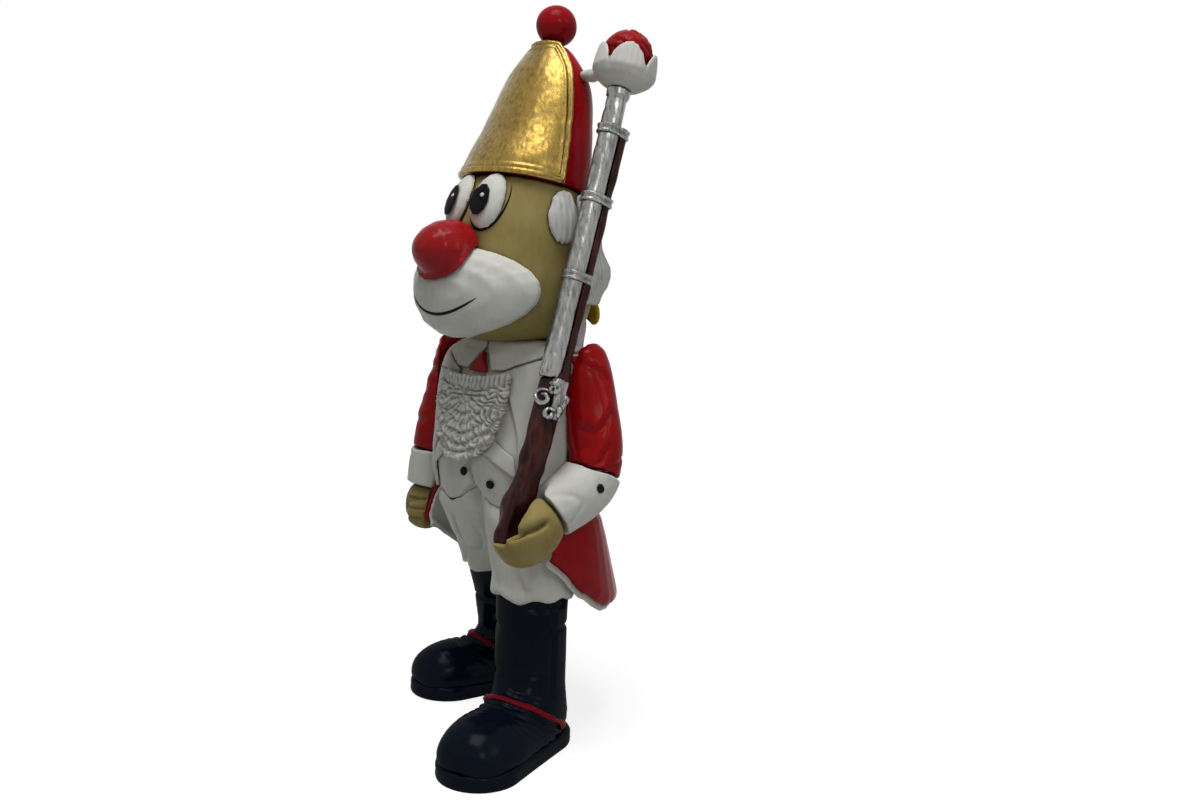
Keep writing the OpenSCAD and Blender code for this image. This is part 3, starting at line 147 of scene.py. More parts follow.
class Skin:
    """A surface as arrays: points in millimetres and the four corners of each face."""

    def __init__(self, points: np.ndarray, faces: np.ndarray) -> None:
        """Keeps the arrays and finds the edges.

        Args:
            points: N by 3 places in millimetres.
            faces: M by 4 indices of points.
        """
        self.points = np.asarray(points, float)
        self.faces = np.asarray(faces, int)
        ring = np.roll(self.faces, -1, axis=1)
        pairs = np.stack([self.faces.ravel(), ring.ravel()], axis=1)
        pairs = pairs[pairs[:, 0] != pairs[:, 1]]
        self.edges = np.unique(np.sort(pairs, axis=1), axis=0)
        count = len(self.points)
        self.links = np.bincount(self.edges.ravel(), minlength=count).clip(1)

    @classmethod
    def of_node(cls, node: str, cell: float, rounds: int) -> "Skin":
        """Copies a solid's surface as an even net of small quads, with its facets smoothed away.

        Args:
            node: Name of the CAD node.
            cell: Width of a quad in millimetres.
            rounds: How many times the net is smoothed.

        Returns:
            The net.
        """
        source = bpy.data.objects[node]
        copy = bpy.data.objects.new("net", source.data.copy())
        bpy.context.scene.collection.objects.link(copy)
        remesh = copy.modifiers.new("net", "REMESH")
        remesh.mode = "VOXEL"
        remesh.voxel_size = cell * METRES
        graph = bpy.context.evaluated_depsgraph_get()
        mesh = bpy.data.meshes.new_from_object(copy.evaluated_get(graph))
        points = np.zeros(len(mesh.vertices) * 3, np.float32)
        mesh.vertices.foreach_get("co", points)
        corners = np.zeros(len(mesh.loops), np.int32)
        mesh.loops.foreach_get("vertex_index", corners)
        bpy.data.objects.remove(copy)
        bpy.data.meshes.remove(mesh)
        skin = cls(points.reshape(-1, 3) / METRES, corners.reshape(-1, 4))
        return skin.soften(rounds)

    @property
    def x(self) -> np.ndarray:
        """Distance of each point to the figure's left."""
        return self.points[:, 0]

    @property
    def y(self) -> np.ndarray:
        """Distance of each point behind the figure's axis."""
        return self.points[:, 1]

    @property
    def z(self) -> np.ndarray:
        """Height of each point."""
        return self.points[:, 2]

    def around(self, values: np.ndarray) -> np.ndarray:
        """Mean of a value over each point's neighbours.

        Args:
            values: One number, or one row, for each point.

        Returns:
            The means, in the same form.
        """
        count = len(self.points)
        first, second = self.edges.T
        columns = values.reshape(count, -1)
        means = np.empty_like(columns)
        for axis in range(columns.shape[1]):
            column = columns[:, axis]
            total = np.bincount(first, column[second], count)
            total += np.bincount(second, column[first], count)
            means[:, axis] = total / self.links
        return means.reshape(values.shape)

    def spread(self, values: np.ndarray, rounds: int) -> np.ndarray:
        """Evens a value out over the net."""
        for _ in range(rounds):
            values = 0.5 * (values + self.around(values))
        return values

    def soften(self, rounds: int) -> "Skin":
        """Smooths facets away, and gives back most of what that shrinks."""
        smooth = self.spread(self.points, rounds)
        self.points = smooth + self.spread(self.points - smooth, rounds)
        return self

    def normals(self) -> np.ndarray:
        """Unit normals of the points, outwards."""
        corner = self.points[self.faces]
        facing = np.cross(corner[:, 2] - corner[:, 0], corner[:, 3] - corner[:, 1])
        total = np.zeros_like(self.points)
        for axis in range(3):
            weights = np.repeat(facing[:, axis], 4)
            total[:, axis] = np.bincount(self.faces.ravel(), weights, len(self.points))
        return total / np.linalg.norm(total, axis=1, keepdims=True).clip(1e-9)

    def lift(self, amount: np.ndarray) -> "Skin":
        """Moves each point out along its normal by its own amount in millimetres."""
        self.points += self.normals() * np.asarray(amount)[:, None]
        return self

    def grain(self, stretch: Point, shift: float = 0.0) -> np.ndarray:
        """Smooth noise between about -1 and 1 at each point.

        Args:
            stretch: Waves per millimetre along x, y and z.
            shift: Moves to another part of the noise.

        Returns:
            One value for each point.
        """
        places = self.points * np.array(stretch) + shift
        return np.array([noise.noise(place) for place in places.tolist()])

    def folds(self, stretch: Point, width: float, shift: float = 0.0) -> np.ndarray:
        """Thin wandering fold lines, 1 on a line and 0 away from it.

        Args:
            stretch: Waves per millimetre along x, y and z.
            width: Share of the noise that a line covers.
            shift: Moves to another part of the noise.

        Returns:
            One value for each point.
        """
        line = bell(self.grain(stretch, shift), width)
        wide = self.grain(np.array(stretch) * BREAK_SCALE, shift + BREAK_SHIFT)
        return line * held(BREAK_LEVEL + BREAK_SLOPE * wide)

    def near(self, path: Sequence[Point], width: float) -> np.ndarray:
        """How near each point is to a path: 1 on it, falling off smoothly over a width.

        Args:
            path: Points in millimetres, joined by straight lines.
            width: Distance at which the value has fallen to about a third.

        Returns:
            One value for each point.
        """
        path = np.array(path, float)
        best = np.full(len(self.points), np.inf)
        for start, end in zip(path[:-1], path[1:]):
            along = end - start
            share = ((self.points - start) @ along / (along @ along)).clip(0, 1)
            gap = self.points - start - share[:, None] * along
            best = np.minimum(best, (gap * gap).sum(axis=1))
        return np.exp(-best / width**2)

    def settled(self, tree: BVHTree, gap: float) -> "Skin":
        """Lays a thin piece along a surface, with its middle at a gap from it."""
        found = [tree.find_nearest(Vector(point)) for point in self.points]
        away = np.array([point - place for point, (place, *_) in zip(self.points, found)])
        facing = np.array([normal for _, normal, *_ in found])
        off = self.spread(np.sum(away * facing, axis=1), SETTLE_ROUNDS)
        self.points -= facing * (off - gap)[:, None]
        return self

    def hollows(self) -> np.ndarray:
        """How far each point lies in a crease of its own surface, from 0 to 1."""
        inward = ((self.around(self.points) - self.points) * self.normals()).sum(axis=1)
        for _ in range(2):
            inward = self.around(inward)
        return held(inward / FULL_CREASE)

    def tree(self) -> BVHTree:
        """A search tree for laying lines on this surface."""
        return BVHTree.FromPolygons(self.points.tolist(), self.faces.tolist())

    def mesh(self, name: str) -> bpy.types.Mesh:
        """Makes a smooth-shaded mesh in metres that keeps its hollows as an attribute.

        Args:
            name: Name of the mesh.

        Returns:
            The mesh.
        """
        mesh = bpy.data.meshes.new(name)
        faces = [list(dict.fromkeys(face)) for face in self.faces.tolist()]
        mesh.from_pydata((self.points * METRES).tolist(), [], faces)
        mesh.polygons.foreach_set("use_smooth", np.ones(len(mesh.polygons), bool))
        # The hollows feed the painted crease shade of the materials.
        crease = mesh.attributes.new("crease", "FLOAT", "POINT")
        crease.data.foreach_set("value", self.hollows().astype(np.float32))
        mesh.update()
        return mesh

    @classmethod
    def closed(cls, points: np.ndarray, faces: np.ndarray) -> "Skin":
        """A closed surface whose faces are turned outwards.

        Args:
            points: N by 3 places in millimetres.
            faces: M by 4 indices of points.

        Returns:
            The surface.
        """
        corner = points[faces] - points.mean(axis=0)
        facing = np.cross(corner[:, 2] - corner[:, 0], corner[:, 3] - corner[:, 1])
        outward = (corner.mean(axis=1) * facing).sum() > 0
        return cls(points, faces if outward else faces[:, ::-1])

    @classmethod
    def joined(cls, skins: Sequence["Skin"]) -> "Skin":
        """Several surfaces as one."""
        starts = np.cumsum([0] + [len(skin.points) for skin in skins[:-1]])
        faces = [skin.faces + start for skin, start in zip(skins, starts)]
        return cls(np.concatenate([skin.points for skin in skins]), np.concatenate(faces))


def grid_faces(rows: int, cols: int, ring: bool = False) -> np.ndarray:
    """The quads of a grid of points.

    Args:
        rows: Number of rows.
        cols: Points in a row.
        ring: Whether the last row joins the first.

    Returns:
        Four indices for each quad. A row's last point always joins its first.
    """
    low, left = np.meshgrid(np.arange(rows if ring else rows - 1), np.arange(cols), indexing="ij")
    high, right = (low + 1) % rows, (left + 1) % cols
    corners = [low * cols + left, low * cols + right, high * cols + right, high * cols + left]
    return np.stack(corners, axis=-1).reshape(-1, 4)


def lofted(rings: np.ndarray) -> Skin:
    """A solid through rings of points, closed at both ends by a fan.

    Args:
        rings: Rings by points by 3, in millimetres.

    Returns:
        Its surface.
    """
    rows, cols, _ = rings.shape
    ends = [rings[0].mean(axis=0), rings[-1].mean(axis=0)]
    points = np.concatenate([rings.reshape(-1, 3), ends])
    side = np.arange(cols)
    after = (side + 1) % cols
    pole = np.full(cols, rows * cols)
    top = (rows - 1) * cols
    first = np.stack([pole, after, side, side], axis=1)
    last = np.stack([pole + 1, top + side, top + after, top + after], axis=1)
    return Skin.closed(points, np.concatenate([grid_faces(rows, cols), first, last]))


def blurred(grid: np.ndarray, rounds: int) -> np.ndarray:
    """A grid of numbers, smoothed along its rows and columns and held at its edges."""
    for _ in range(rounds):
        for axis in (0, 1):
            wide = np.pad(grid, [(1, 1) if axis == 0 else (0, 0), (1, 1) if axis == 1 else (0, 0)], "edge")
            lower = np.take(wide, range(grid.shape[axis]), axis)
            upper = np.take(wide, range(2, grid.shape[axis] + 2), axis)
            grid = 0.5 * grid + 0.25 * (lower + upper)
    return grid


class Axis:
    """A line through a piece, to measure round it: a turn of 0 is the figure's left, and 90 its back."""

    def __init__(self, foot: Point, head: Point) -> None:
        """Keeps a line from one point towards another."""
        self.foot = np.array(foot, float)
        along = np.array(head, float) - self.foot
        self.along = along / np.linalg.norm(along)
        across = np.array((1.0, 0.0, 0.0)) - self.along * self.along[0]
        self.across = across / np.linalg.norm(across)
        self.ahead = np.cross(self.along, self.across)

    @classmethod
    def between(cls, foot: str, head: str) -> "Axis":
        """The line through the middles of two nodes."""
        return cls(node_middle(foot), node_middle(head))

    def out(self, turn: float) -> np.ndarray:
        """The heading away from the line at a turn in degrees."""
        angle = math.radians(turn)
        return self.across * math.cos(angle) + self.ahead * math.sin(angle)

    def measure(self, points: np.ndarray) -> tuple[np.ndarray, np.ndarray, np.ndarray]:
        """Height along the line, turn in degrees and distance from it, for each point."""
        gap = points - self.foot
        right, back = gap @ self.across, gap @ self.ahead
        return gap @ self.along, np.degrees(np.arctan2(back, right)), np.hypot(right, back)

    def place(self, height: float, turn: float, radius: float) -> np.ndarray:
        """The point at a height, a turn and a distance."""
        return self.foot + self.along * height + self.out(turn) * radius

    def ring(self, height: float, turns: Point, radii: Number) -> list[np.ndarray]:
        """Points round the line at one height, at one distance or each at its own."""
        pairs = zip(turns, np.broadcast_to(radii, len(turns)))
        return [self.place(height, turn, radius) for turn, radius in pairs]

    def radii(self, trees: Sequence[BVHTree], heights: Point, turns: Point) -> np.ndarray:
        """Distance from the line to the outside of some surfaces.

        Args:
            trees: The surfaces.
            heights: Heights along the line.
            turns: Turns in degrees.

        Returns:
            Heights by turns, with -1 where no surface is met.
        """
        reach = 90.0
        found = np.full((len(heights), len(turns)), -1.0)
        for row, height in enumerate(heights):
            for col, turn in enumerate(turns):
                start = Vector(self.place(height, turn, reach))
                for tree in trees:
                    _, _, _, far = tree.ray_cast(start, Vector(-self.out(turn)), reach)
                    if far is not None:
                        found[row, col] = max(found[row, col], reach - far)
        return found


def node_middle(node: str) -> np.ndarray:
    """The middle of a CAD node's box in millimetres."""
    low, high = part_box(node)
    return (np.array(low) + np.array(high)) / 2 / METRES


def node_box(node: str) -> tuple[np.ndarray, np.ndarray]:
    """The lowest and the highest corner of a CAD node's box in millimetres."""
    low, high = (np.array(corner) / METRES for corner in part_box(node))
    return low, high


def node_points(node: str) -> np.ndarray:
    """The corners of a CAD node in millimetres."""
    return np.array([vertex.co / METRES for vertex in bpy.data.objects[node].data.vertices])


def node_tree(node: str) -> BVHTree:
    """A search tree of a CAD node's own faces, in millimetres."""
    mesh = bpy.data.objects[node].data
    points = [vertex.co / METRES for vertex in mesh.vertices]
    return BVHTree.FromPolygons(points, [list(face.vertices) for face in mesh.polygons])


def swept(path: np.ndarray, across: np.ndarray, out: np.ndarray) -> Skin:
    """A bead swept along a path, with an oval section and rounded ends.

    Args:
        path: Points along its middle.
        across: For each point, the half width as a vector.
        out: For each point, the half height as a vector.

    Returns:
        The bead's surface.
    """
    turns = np.linspace(0, 2 * np.pi, BEAD_SIDES, endpoint=False)
    rings = (
        path[:, None]
        + across[:, None] * np.cos(turns)[None, :, None]
        + out[:, None] * np.sin(turns)[None, :, None]
    )
    return lofted(rings)


def laid_bead(tree: BVHTree, spots: Sequence[Point], towards: Point, width: float, height: float) -> Skin:
    """A thin bead of paint laid on a surface along a curve.

    Args:
        tree: The surface.
        spots: Points in front of the surface, along the curve.
        towards: Heading from the spots to the surface.
        width: Full width of the bead at its middle.
        height: How far it stands up from the surface.

    Returns:
        The bead's surface, tapered at both ends.
    """
    path, facing = [], []
    for spot in spots:
        place, normal, _, _ = tree.ray_cast(Vector(spot), Vector(towards))
        if place is not None:
            path.append(place)
            facing.append(normal)
    path, facing = np.array(path), np.array(facing)
    heading = np.gradient(path, axis=0)
    across = np.cross(heading, facing)
    across /= np.linalg.norm(across, axis=1, keepdims=True)
    share = np.linspace(-1, 1, len(path))
    taper = np.sqrt(BEAD_END - share**2)[:, None]
    return swept(path, across * taper * width / 2, facing * taper * height)


Colour = tuple[float, float, float]
Node = bpy.types.Node
Socket = bpy.types.NodeSocket
Value = Union[float, Point, Socket]


class Sketch:
    """A node tree being drawn: it places nodes and joins their sockets."""

    # Sockets of the Mix node for colours, which share their names with its sockets for numbers.
    mix_share: ClassVar[int] = 0
    mix_first: ClassVar[int] = 6
    mix_second: ClassVar[int] = 7
    mix_colour: ClassVar[int] = 2

    def __init__(self, tree: bpy.types.NodeTree) -> None:
        """Keeps the tree that is drawn."""
        self.tree = tree

    def feed(self, node: Node, inputs: dict[Union[str, int], Value]) -> None:
        """Fills inputs of a node.

        Args:
            node: The node.
            inputs: For each input socket, another socket to join or a value to set.
        """
        for socket, value in inputs.items():
            if isinstance(value, Socket):
                self.tree.links.new(value, node.inputs[socket])
            else:
                node.inputs[socket].default_value = value

    def node(self, kind: str, inputs: Optional[dict] = None, **settings: object) -> Node:
        """Places a node.

        Args:
            kind: Its type.
            inputs: For each input socket, another socket to join or a value to set.
            settings: Its own properties.

        Returns:
            The node.
        """
        node = self.tree.nodes.new(kind)
        for name, value in settings.items():
            setattr(node, name, value)
        self.feed(node, inputs or {})
        return node

    def effect(self, effect: "Effect", inputs: dict[str, Value]) -> Node:
        """Places a shared effect and fills its inputs."""
        return self.node("ShaderNodeGroup", inputs, node_tree=effect.group())

    def math(self, operation: str, first: Value, second: Value) -> Socket:
        """The result of a sum on two numbers or sockets."""
        return self.node("ShaderNodeMath", {0: first, 1: second}, operation=operation).outputs[0]

    def weighted(self, first: Socket, first_weight: Value, second: Socket, second_weight: Value) -> Socket:
        """Two sockets added up, each times its own weight."""
        first = self.math("MULTIPLY", first, first_weight)
        second = self.math("MULTIPLY", second, second_weight)
        return self.math("ADD", first, second)

    def blend(self, share: Value, first: Value, second: Value) -> Socket:
        """A colour between two colours or sockets."""
        inputs = {self.mix_share: share, self.mix_first: first, self.mix_second: second}
        return self.node("ShaderNodeMix", inputs, data_type="RGBA").outputs[self.mix_colour]

    def ranged(self, value: Socket, low: float, high: float, to: Pair = (0.0, 1.0)) -> Socket:
        """A number moved from one range to another and held there."""
        inputs = {"Value": value, "From Min": low, "From Max": high, "To Min": to[0], "To Max": to[1]}
        return self.node("ShaderNodeMapRange", inputs).outputs["Result"]

    def millimetres(self, stretch: Point = (1, 1, 1)) -> Socket:
        """Places on the figure in millimetres, stretched along each axis."""
        place = self.node("ShaderNodeTexCoord").outputs["Object"]
        scale = [value / METRES for value in stretch]
        return self.node("ShaderNodeVectorMath", {0: place, 1: scale}, operation="MULTIPLY").outputs[0]

    def noise(self, scale: float, detail: float, stretch: Point = (1, 1, 1)) -> Socket:
        """Noise with that many waves per millimetre, from 0 to 1."""
        inputs = {"Vector": self.millimetres(stretch), "Scale": scale, "Detail": detail}
        return self.node("ShaderNodeTexNoise", inputs).outputs["Fac"]

    def seen(self) -> Socket:
        """1 for rays that show a thing, straight, mirrored or through another, and 0 for rays of light."""
        rays = self.node("ShaderNodeLightPath").outputs
        shown = self.math("MAXIMUM", rays["Is Camera Ray"], rays["Is Glossy Ray"])
        return self.math("MAXIMUM", shown, rays["Is Transmission Ray"])


class Effect(Enum):
    """The shared surface effects, each a node group that is built once."""

    BRUSHED = "Brushed paint"
    # Painted shade, darker in creases and in the joins between parts.
    WASH = "Crevice wash"
    LEAF = "Mottled leaf"

    def group(self) -> bpy.types.NodeTree:
        """The effect's node group."""
        found = bpy.data.node_groups.get(self.value)
        if found:
            return found
        makers = {Effect.BRUSHED: brushed_group, Effect.WASH: wash_group, Effect.LEAF: leaf_group}
        return makers[self](self.value)


COLOUR = "NodeSocketColor"
NUMBER = "NodeSocketFloat"
Kinds = dict[str, str]


def new_group(name: str, inputs: Kinds, outputs: Kinds) -> tuple[Sketch, dict[str, Socket], Node]:
    """Starts a node group with named sockets.

    Args:
        name: Name of the group.
        inputs: Kind of each input socket.
        outputs: Kind of each output socket.

    Returns:
        The group's sketch, its inputs as sockets to read, and the node that takes its outputs.
    """
    tree = bpy.data.node_groups.new(name, "ShaderNodeTree")
    for socket, kind in inputs.items():
        tree.interface.new_socket(name=socket, in_out="INPUT", socket_type=kind)
    for socket, kind in outputs.items():
        tree.interface.new_socket(name=socket, in_out="OUTPUT", socket_type=kind)
    sketch = Sketch(tree)
    given = sketch.node("NodeGroupInput").outputs
    return sketch, {socket: given[socket] for socket in inputs}, sketch.node("NodeGroupOutput")


def brushed_group(name: str) -> bpy.types.NodeTree:
    """Hand-brushed paint: uneven cover, faint brush tracks and small pits in the casting.

    Args:
        name: Name of the group.

    Returns:
        The group, with Color, Gloss and Height.
    """
    inputs = {"Color": COLOUR, "Thin": COLOUR, "Tracks": NUMBER}
    outputs = {"Color": COLOUR, "Gloss": NUMBER, "Height": NUMBER}
    sketch, given, made = new_group(name, inputs, outputs)
    patches = sketch.noise(0.11, 4.0)
    tracks = sketch.noise(0.9, 3.0, (1.0, 1.0, 0.16))
    fine = sketch.noise(2.4, 2.0)
    cover = sketch.weighted(patches, 0.65, tracks, 0.35)
    colour = sketch.blend(sketch.ranged(cover, 0.4, 0.66), given["Color"], given["Thin"])
    pits = sketch.node("ShaderNodeTexVoronoi", {"Vector": sketch.millimetres(), "Scale": 0.34})
    pit = sketch.ranged(pits.outputs["Distance"], 0.03, 0.12)
    rough = sketch.weighted(tracks, given["Tracks"], fine, 0.25)
    height = sketch.math("ADD", rough, sketch.math("MULTIPLY", pit, 0.3))
    gloss = sketch.weighted(patches, 0.6, fine, 0.4)
    sketch.feed(made, {"Color": colour, "Gloss": gloss, "Height": height})
    return sketch.tree


def wash_group(name: str) -> bpy.types.NodeTree:
    """Painted shade: a darker colour laid in creases and where two castings meet, where shade falls.

    Args:
        name: Name of the group.

    Returns:
        The group, with Color and Shade Mask.
    """
    inputs = {"Color": COLOUR, "Wash": COLOUR, "Amount": NUMBER}
    sketch, given, made = new_group(name, inputs, {"Color": COLOUR, "Mask": NUMBER})
    # Painted shade: the crease attribute and ambient occlusion darken the colour where shade falls.
    crease = sketch.node("ShaderNodeAttribute", attribute_name="crease").outputs["Fac"]
    corner = sketch.node("ShaderNodeAmbientOcclusion", {"Distance": 2.2 * METRES}, samples=8)
    closed = sketch.ranged(corner.outputs["AO"], 0.35, 0.8, (1.0, 0.0))
    settled = sketch.math("MAXIMUM", crease, closed)
    uneven = sketch.ranged(sketch.noise(0.5, 3.0), 0.3, 0.62, (0.55, 1.0))
    shade_mask = sketch.math("MULTIPLY", sketch.math("MULTIPLY", settled, uneven), given["Amount"])
    colour = sketch.blend(shade_mask, given["Color"], given["Wash"])
    sketch.feed(made, {"Color": colour, "Mask": shade_mask})
    return sketch.tree


def leaf_group(name: str) -> bpy.types.NodeTree:
    """Metal leaf rubbed on by hand: bright laps, dull streaks and worn dark flecks.

    Args:
        name: Name of the group.

    Returns:
        The group, with Color, Roughness, Worn and Height.
    """
    inputs = {"Bright": COLOUR, "Dull": COLOUR, "Dark": COLOUR}
    outputs = {"Color": COLOUR, "Roughness": NUMBER, "Worn": NUMBER, "Height": NUMBER}
    sketch, given, made = new_group(name, inputs, outputs)
    laps = sketch.math("MULTIPLY", sketch.noise(0.11, 3.0, (1.0, 1.0, 0.8)), 0.6)
    streaks = sketch.noise(0.8, 5.0, (1.3, 1.3, 0.22))
    grit = sketch.noise(2.2, 3.0)
    dull = sketch.ranged(sketch.math("ADD", laps, streaks), 0.6, 1.0)
    body = sketch.blend(dull, given["Bright"], given["Dull"])
    flecks = sketch.math("MULTIPLY", streaks, grit)
    worn = sketch.ranged(flecks, 0.33, 0.44, (0.0, 0.75))
    colour = sketch.blend(worn, body, given["Dark"])
    rough = sketch.ranged(dull, 0.0, 1.0, (0.2, 0.42))
    height = sketch.math("ADD", streaks, sketch.math("MULTIPLY", grit, 0.4))
    sketch.feed(made, {"Color": colour, "Roughness": rough, "Worn": worn, "Height": height})
    return sketch.tree


def opaque(colour: Colour) -> tuple[float, float, float, float]:
    """A colour with full cover."""
    return (*colour, 1.0)


def new_material(name: str) -> tuple[Sketch, Node, bpy.types.Material]:
    """Starts a material with one Principled shader.

    Args:
        name: Name of the material.

    Returns:
        Its sketch, the shader and the material.
    """
    material = bpy.data.materials.new(name)
    material.use_nodes = True
    shader = material.node_tree.nodes["Principled BSDF"]
    return Sketch(material.node_tree), shader, material


def join_bump(sketch: Sketch, shader: Node, height: Socket, depth: float) -> None:
    """Raises a surface by a height socket, by that many millimetres at most."""
    bump = sketch.node("ShaderNodeBump", {"Height": height, "Distance": depth * METRES, "Strength": 1.0})
    sketch.feed(shader, {"Normal": bump.outputs["Normal"]})


def join_wash(sketch: Sketch, shader: Node, colour: Socket, wash: Colour, amount: float) -> Socket:
    """Lays painted shade over a colour and gives the result to a shader.

    Args:
        sketch: The material's sketch.
        shader: Its shader.
        colour: The colour under the wash.
        wash: The colour of the painted shade.
        amount: How much of it covers a full crease.

    Returns:
        Where the painted shade lies, from 0 to 1.
    """
    # Painted shade: creases and joins take the darker colour.
    inputs = {"Color": colour, "Wash": opaque(wash), "Amount": amount}
    shade_node = sketch.effect(Effect.WASH, inputs)
    sketch.feed(shader, {"Base Color": shade_node.outputs["Color"]})
    return shade_node.outputs["Mask"]


@dataclass(frozen=True)
class Finish:
    """What every finish shares: its slot in the record, and a material that is built at its first use."""

    name: str
    slot: Slot

    def material(self) -> bpy.types.Material:
        """The finish's material."""
        found = bpy.data.materials.get(self.name)
        if found:
            return found
        sketch, shader, material = new_material(self.name)
        self.draw(sketch, shader)
        return material

    def draw(self, sketch: Sketch, shader: Node) -> None:
        """Draws the finish's own nodes and feeds them to the shader."""
        raise NotImplementedError


@dataclass(frozen=True)
class Paint(Finish):
    """A hand-brushed paint, with painted shade darkening its creases and joins."""

    colour: Colour
    thin: Colour
    # The colour of the painted shade in creases and joins.
    wash: Colour
    wash_amount: float = 0.7
    gloss: Pair = (0.3, 0.5)
    coat: float = 0.04
    coat_gloss: float = 0.16
    shine: float = 0.01
    tracks: float = 0.4
    bump: float = 0.06

    def draw(self, sketch: Sketch, shader: Node) -> None:
        """Draws brushed paint, its painted crease shade and a thin varnish."""
        inputs = {"Color": opaque(self.colour), "Thin": opaque(self.thin), "Tracks": self.tracks}
        brushed = sketch.effect(Effect.BRUSHED, inputs).outputs
        join_wash(sketch, shader, brushed["Color"], self.wash, self.wash_amount)
        looks = {
            "Roughness": sketch.ranged(brushed["Gloss"], 0.35, 0.65, self.gloss),
            "Specular IOR Level": self.shine,
            "Coat Weight": self.coat,
            "Coat Roughness": self.coat_gloss,
        }
        sketch.feed(shader, looks)
        join_bump(sketch, shader, brushed["Height"], self.bump)


@dataclass(frozen=True)
class Leaf(Finish):
    """Metal leaf over a dark ground."""

    bright: Colour
    dull: Colour
    # The dark colour shows in worn flecks, and is also the painted shade in creases and joins.
    dark: Colour
    wash_amount: float = 0.8
    bump: float = 0.05

    def draw(self, sketch: Sketch, shader: Node) -> None:
        """Draws the leaf, which is less metallic where it is worn or lies in painted shade."""
        inputs = {"Bright": opaque(self.bright), "Dull": opaque(self.dull), "Dark": opaque(self.dark)}
        leaf = sketch.effect(Effect.LEAF, inputs).outputs
        # Painted shade in creases and joins also takes the metal away there.
        shade_mask = join_wash(sketch, shader, leaf["Color"], self.dark, self.wash_amount)
        bare = sketch.math("MAXIMUM", leaf["Worn"], shade_mask)
        metal = sketch.ranged(bare, 0.0, 0.9, (1.0, 0.35))
        sketch.feed(shader, {"Roughness": leaf["Roughness"], "Metallic": metal})
        join_bump(sketch, shader, leaf["Height"], self.bump)


@dataclass(frozen=True)
class Grained(Finish):
    """Paint streaked along the musket's stock to look like carved wood."""

    light: Colour
    deep: Colour
    # The darkest streaks, and also the painted shade in creases and joins.
    dark: Colour
    wash_amount: float = 0.8
    gloss: Pair = (0.24, 0.46)
    coat: float = 0.16
    coat_gloss: float = 0.2
    shine: float = 0.02
    bump: float = 0.25

    def draw(self, sketch: Sketch, shader: Node) -> None:
        """Draws light and dark streaks, painted crease shade and a thin varnish."""
        bend = sketch.noise(0.1, 2.0)
        grain = sketch.noise(0.55, 6.0, (1.0, 1.0, 0.1))
        streak = sketch.weighted(bend, 0.5, grain, 0.7)
        lit = sketch.ranged(streak, 0.55, 0.75)
        shade = sketch.ranged(streak, 0.55, 0.42)
        colour = sketch.blend(lit, opaque(self.deep), opaque(self.light))
        colour = sketch.blend(shade, colour, opaque(self.dark))
        # Painted shade in creases and joins, in the dark colour.
        join_wash(sketch, shader, colour, self.dark, self.wash_amount)
        looks = {
            "Roughness": sketch.ranged(grain, 0.3, 0.7, self.gloss),
            "Specular IOR Level": self.shine,
            "Coat Weight": self.coat,
            "Coat Roughness": self.coat_gloss,
        }
        sketch.feed(shader, looks)
        join_bump(sketch, shader, streak, self.bump)


@dataclass(frozen=True)
class DrawnSteel(Finish):
    """Bare drawn wire and rod for the pins inside."""

    colour: Colour
    shade: float = 0.7
    gloss: Pair = (0.25, 0.45)
    bump: float = 0.02

    def draw(self, sketch: Sketch, shader: Node) -> None:
        """Draws fine lines along the rod."""
        lines = sketch.noise(3.0, 3.0, (1.0, 1.0, 0.08))
        dark = tuple(value * self.shade for value in self.colour)
        colour = sketch.blend(lines, opaque(self.colour), opaque(dark))
        rough = sketch.ranged(lines, 0.3, 0.7, self.gloss)
        sketch.feed(shader, {"Base Color": colour, "Roughness": rough, "Metallic": 1.0})
        join_bump(sketch, shader, lines, self.bump)


# Each paint's third colour is its painted shade, laid in creases and joins where shade falls.
SHADE_GREY = (0.23, 0.23, 0.21)
WHITE_PAINT = Paint(
    "white paint", Slot.WHITE, (0.77, 0.77, 0.71), (0.69, 0.69, 0.635), SHADE_GREY,
    wash_amount=0.6, gloss=(0.34, 0.5),
)
HAIR_PAINT = Paint(
    "wig paint", Slot.WHITE, (0.74, 0.74, 0.72), (0.60, 0.605, 0.59), SHADE_GREY,
    wash_amount=0.9, gloss=(0.36, 0.52), tracks=1.0,
)
RED_PAINT = Paint(
    "red paint", Slot.RED, (0.37, 0.004, 0.006), (0.28, 0.003, 0.005), (0.06, 0.001, 0.002),
    wash_amount=0.8, gloss=(0.2, 0.36), coat=0.14, coat_gloss=0.2,
)
CROWN_PAINT = Paint(
    "cap red paint", Slot.RED, (0.36, 0.006, 0.010), (0.27, 0.004, 0.008), (0.05, 0.001, 0.003),
    wash_amount=0.8, gloss=(0.2, 0.36), coat=0.09,
)
NOSE_PAINT = Paint(
    "nose paint", Slot.RED, (0.38, 0.010, 0.012), (0.30, 0.006, 0.010), (0.12, 0.002, 0.004),
    wash_amount=0.6, gloss=(0.16, 0.3), coat=0.18,
)
OLIVE_PAINT = Paint(
    "olive paint", Slot.OLIVE, (0.36, 0.29, 0.11), (0.30, 0.235, 0.08), (0.06, 0.045, 0.016),
    wash_amount=0.8, gloss=(0.3, 0.46), coat=0.06,
)
BOOT_PAINT = Paint(
    "boot paint", Slot.BOOT, (0.0025, 0.005, 0.012), (0.004, 0.007, 0.015), (0.001, 0.001, 0.002),
    gloss=(0.4, 0.6), coat=0.08, coat_gloss=0.2, shine=0.0,
)
CORD_PAINT = Paint(
    "cord paint", Slot.CORD, (0.24, 0.009, 0.014), (0.17, 0.007, 0.011), (0.035, 0.001, 0.003),
)
